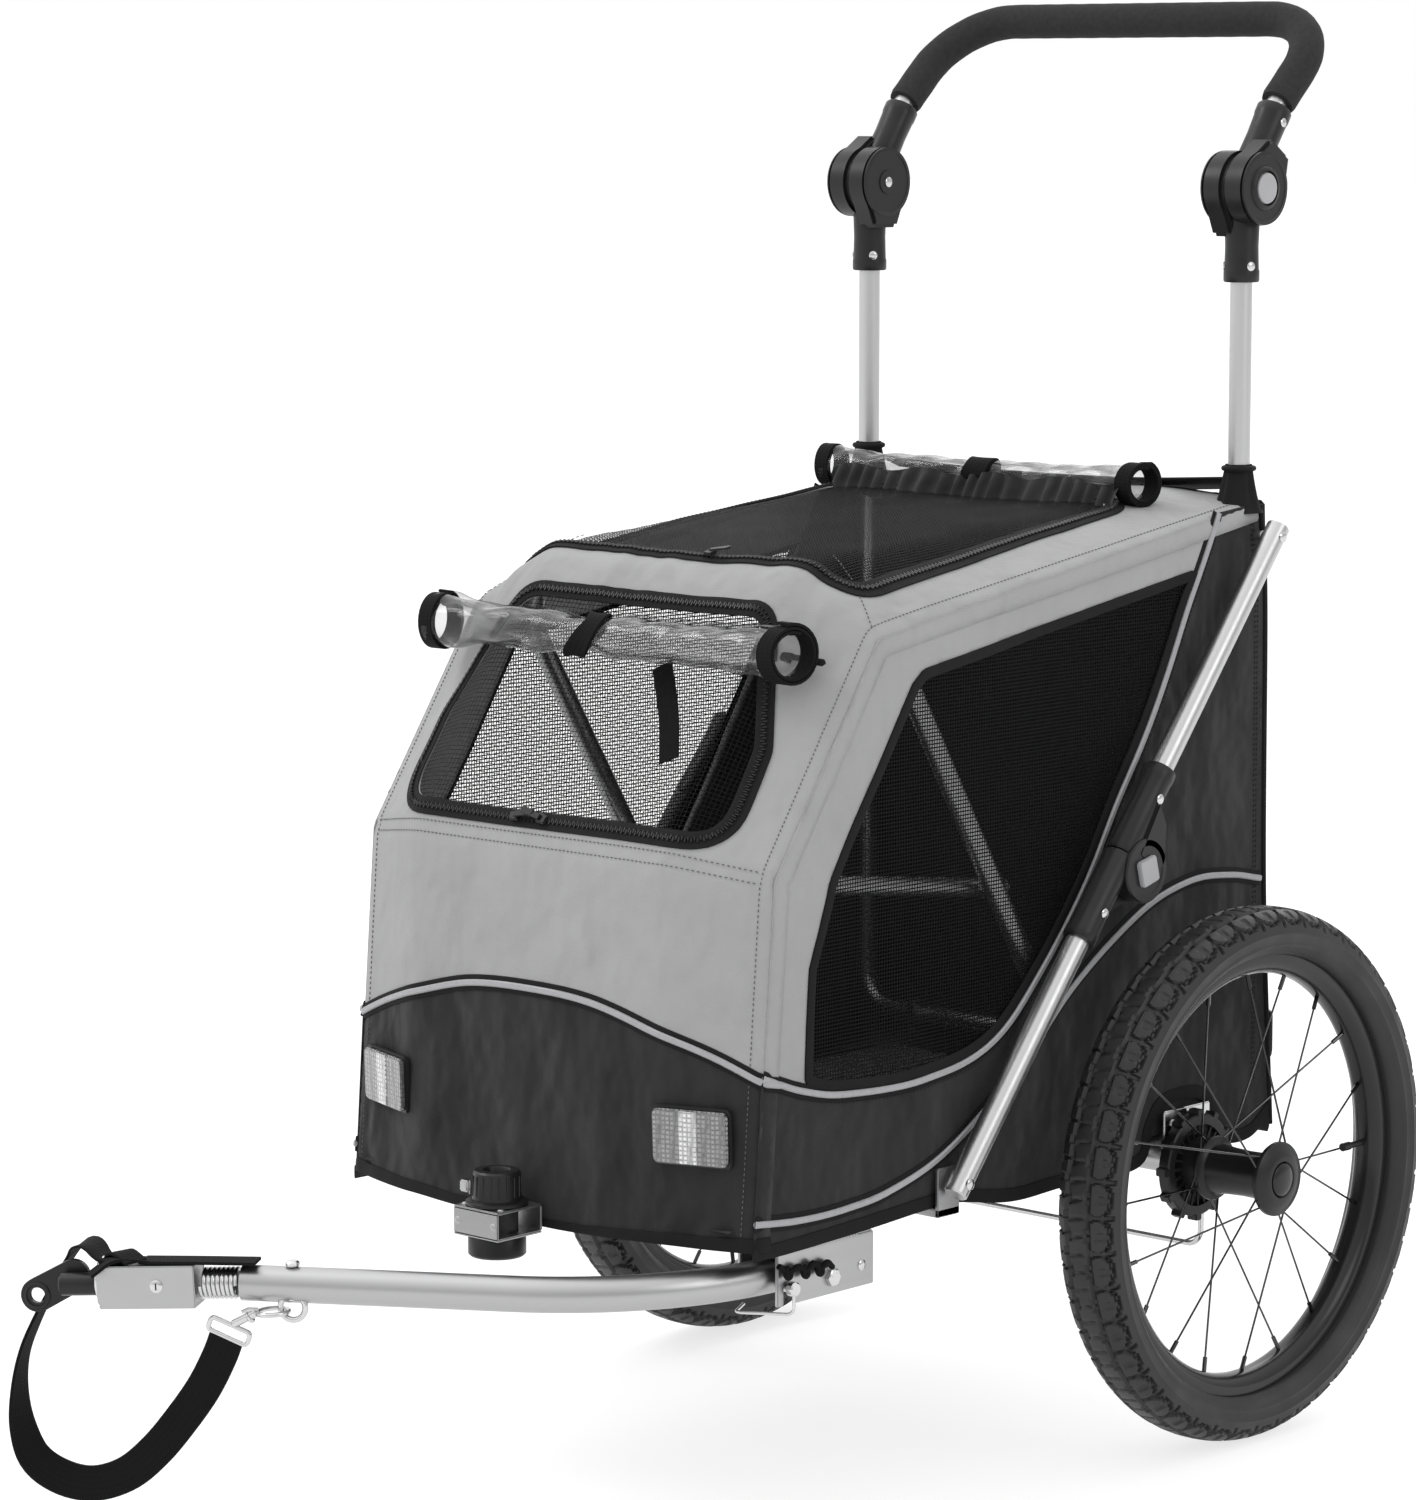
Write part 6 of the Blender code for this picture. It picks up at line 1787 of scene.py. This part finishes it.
def build_coupler():
    """Box behind the spring, its screws and clip, and the hitch arm."""
    shell = Soup()
    for lateral in (-0.0112, 0.0140):
        cheek = [(0.0, 0.001), (0.066, 0.0005), (0.070, 0.004), (0.070, 0.0265), (0.066, 0.030),
                 (0.0, 0.030)]
        shell.add(slab(cheek, 0.0028, plane(at(0.031, lateral, -0.015), ALONG, OVER), 0.0007))
    for up in (-0.0150, 0.0122):
        roof = [(0.0, -0.0138), (0.069, -0.0138), (0.069, 0.0138), (0.0, 0.0138)]
        shell.add(slab(roof, 0.0028, plane(at(0.031, 0, up), ALONG, OUTWARD), 0.0007))
    back = [(-0.0138, -0.0148), (0.0138, -0.0148), (0.0138, 0.0148), (-0.0138, 0.0148)]
    shell.add(slab(back, 0.0022, plane(at(0.0312, 0, 0), OUTWARD, OVER), 0.0006))
    shell.put("coupler_box", "sheet_metal", "coupling", "coupler")
    fittings = Soup(
        screw(at(0.058, 0.0138, 0.0010), OUTWARD, 0.0046, 0.0018),
        screw(at(0.058, -0.0138, 0.0010), OUTWARD * -1, 0.0046, 0.0018),
    )
    turns = [math.tau * i / 48 for i in range(48)]
    clip = [at(0.1000 + 0.0016 * math.cos(2 * t), 0.0118 * math.cos(t),
               0.0020 + 0.0165 * math.sin(t)) for t in turns]
    fittings.add(tube(clip, 0.0015, 10, closed=True))
    fittings.put("coupler_fittings", "steel", "coupling")
    cross = Soup()
    for u, v in ((OVER, ALONG), (ALONG, OVER)):
        bar = [(-0.0024, -0.0005), (0.0024, -0.0005), (0.0024, 0.0005), (-0.0024, 0.0005)]
        cross.add(slab(bar, 0.0006, plane(at(0.058, 0.0152, 0.0010), u, v), 0))
    cross.put("coupler_screw_slot", "plastic", "coupling")
    arm = Soup(rod(at(0.060), at(0.131), 0.0080, 36, 0.0012))
    ends = ((Vector((0.151, -0.0095)), 0.0120), (Vector((0.124, 0.0040)), 0.0115))
    axis = (ends[0][0] - ends[1][0]).normalized()
    normal = Vector((-axis.y, axis.x))
    outline = []
    for (centre, radius), turn in zip(ends, (1, -1)):
        for i in range(17):
            angle = math.pi * i / 16
            outline.append(centre + radius * turn * (math.cos(angle) * normal + math.sin(angle) * axis))
    hole = circle(ends[0][0], Vector((1, 0)), Vector((0, 1)), 0.0055, 36)
    arm.add(holed_plate([tuple(p) for p in outline], [tuple(p) for p in hole], -0.0118, -0.0076))
    rim = ring(at(0.151, -0.0076, -0.0095), OUTWARD, 0.0085, 0.0012, 36, 8)
    arm.add(rim)
    arm.put("hitch_eye_arm", "plastic", "hitch", "hitch_arm", 35)


def holed_plate(outline, hole, low, high):
    """Flat plate in the coupling's upright plane with one hole through it."""
    coords, faces = triangulate(np.array(outline), [np.array(hole)], 0.004)
    count = len(coords)
    verts = [at(x, high, y) for x, y in coords] + [at(x, low, y) for x, y in coords]
    made = [tuple(f) for f in faces] + [tuple(count + i for i in reversed(f)) for f in faces]
    edges = {}
    for face in faces:
        for a, b in zip(face, np.roll(face, -1)):
            edges[(int(a), int(b))] = True
    for a, b in edges:
        if (b, a) not in edges:
            made.append((b, a, count + a, count + b))
    return verts, made


STRAP_ROUTE = [
    (0.084, 0.000, 0.0168), (0.098, -0.003, 0.0180), (0.111, -0.013, 0.0240), (0.124, -0.027, 0.0210),
    (0.137, -0.034, 0.0070), (0.149, -0.034, -0.0120), (0.159, -0.028, -0.0310),
    (0.166, -0.016, -0.0520), (0.168, -0.006, -0.0760), (0.166, -0.001, -0.1000),
    (0.158, 0.000, -0.1230), (0.140, 0.000, -0.1370), (0.117, 0.000, -0.1420), (0.092, 0.000, -0.1350),
    (0.070, 0.000, -0.1180), (0.050, 0.000, -0.0960), (0.033, 0.000, -0.0740), (0.020, 0.002, -0.0520),
    (0.013, 0.004, -0.0370),
]


def build_safety_strap():
    """Webbing strap from the coupler's top, round behind and up to the snap hook."""
    path = smooth_curve([tuple(at(*p)) for p in STRAP_ROUTE], 0.0045)
    points = [Vector(p) for p in path]
    normals = []
    for i, tangent in enumerate(tangents(points)):
        width = (OUTWARD - tangent * OUTWARD.dot(tangent)).normalized()
        turn = math.pi / 2 * float(ramp(i / (len(points) - 1), 0.33, 0.70))
        normals.append(width.cross(tangent) * math.cos(turn) + width * math.sin(turn))
    strap = Soup(strap_strip(points, normals, 0.025, 0.0022))
    made = strap.put("lanyard_webbing", "webbing", "coupling", "safety_strap")
    hook = Soup(
        ring(at(-0.0215, 0.006, -0.0195), OVER, 0.0110, 0.0018),
        rod(at(-0.0108, 0.006, -0.0195), at(0.0078, 0.005, -0.0282), 0.0030, 24, 0.0008),
        rod(at(-0.0060, 0.005, -0.0225), at(-0.0035, 0.005, -0.0241), 0.0046, 24, 0.0008),
        tube([at(-0.012, 0.0095, -0.0170), at(-0.006, 0.0125, -0.0160), at(-0.002, 0.0150, -0.0175)],
             0.0014, 8),
    )
    square = [at(-0.0045, 0.0045, -0.0352), at(0.0225, 0.0045, -0.0225), at(0.0265, 0.0040, -0.0312),
              at(-0.0005, 0.0040, -0.0440)]
    closed = [(square[0] + square[1]) / 2, square[1], square[2], square[3], square[0],
              (square[0] + square[1]) / 2]
    hook.add(tube(fillet(closed, 0.003, 5)[:-1], 0.0018, 10, closed=True))
    snap = hook.put("snap_hook", "steel", "coupling", "strap_hook")
    knot = Soup()
    for start, middle, end, width in (
            ((0.104, 0.0165, 0.010), (0.088, 0.010, 0.0195), (0.066, 0.002, 0.0168), 0.017),
            ((0.100, -0.014, 0.012), (0.086, 0.000, 0.0225), (0.072, 0.012, 0.0180), 0.018),
            ((0.070, 0.001, 0.0168), (0.030, 0.003, 0.0165), (-0.012, 0.002, 0.0152), 0.020)):
        curve = smooth_curve([tuple(at(*start)), tuple(at(*middle)), tuple(at(*end))], 0.004)
        knot.add(strap_strip(curve, [tuple(OVER)] * len(curve), width, 0.0022))
    knot.put("strap_knot", "webbing", "coupling")


SOFT = []
LOOK = build_materials()
build_stage()
build_nose()
build_walls()
build_front_trim()
build_wall_trim()
build_rolls()
build_reflectors()
build_rear()
build_floor_cloth()
build_cushion()
build_base()
build_hoops()
build_handle()
build_front_bracket()
build_receiver()
build_tow_bar()
build_coupler()
build_safety_strap()
for NAME, SIDE in SIDES:
    build_wheel(NAME, SIDE)
    build_strut(NAME, SIDE)
NODES["floor_board"].material_slots[0].material = LOOK["board"][0]
for PIECE in SOFT:
    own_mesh(PIECE)
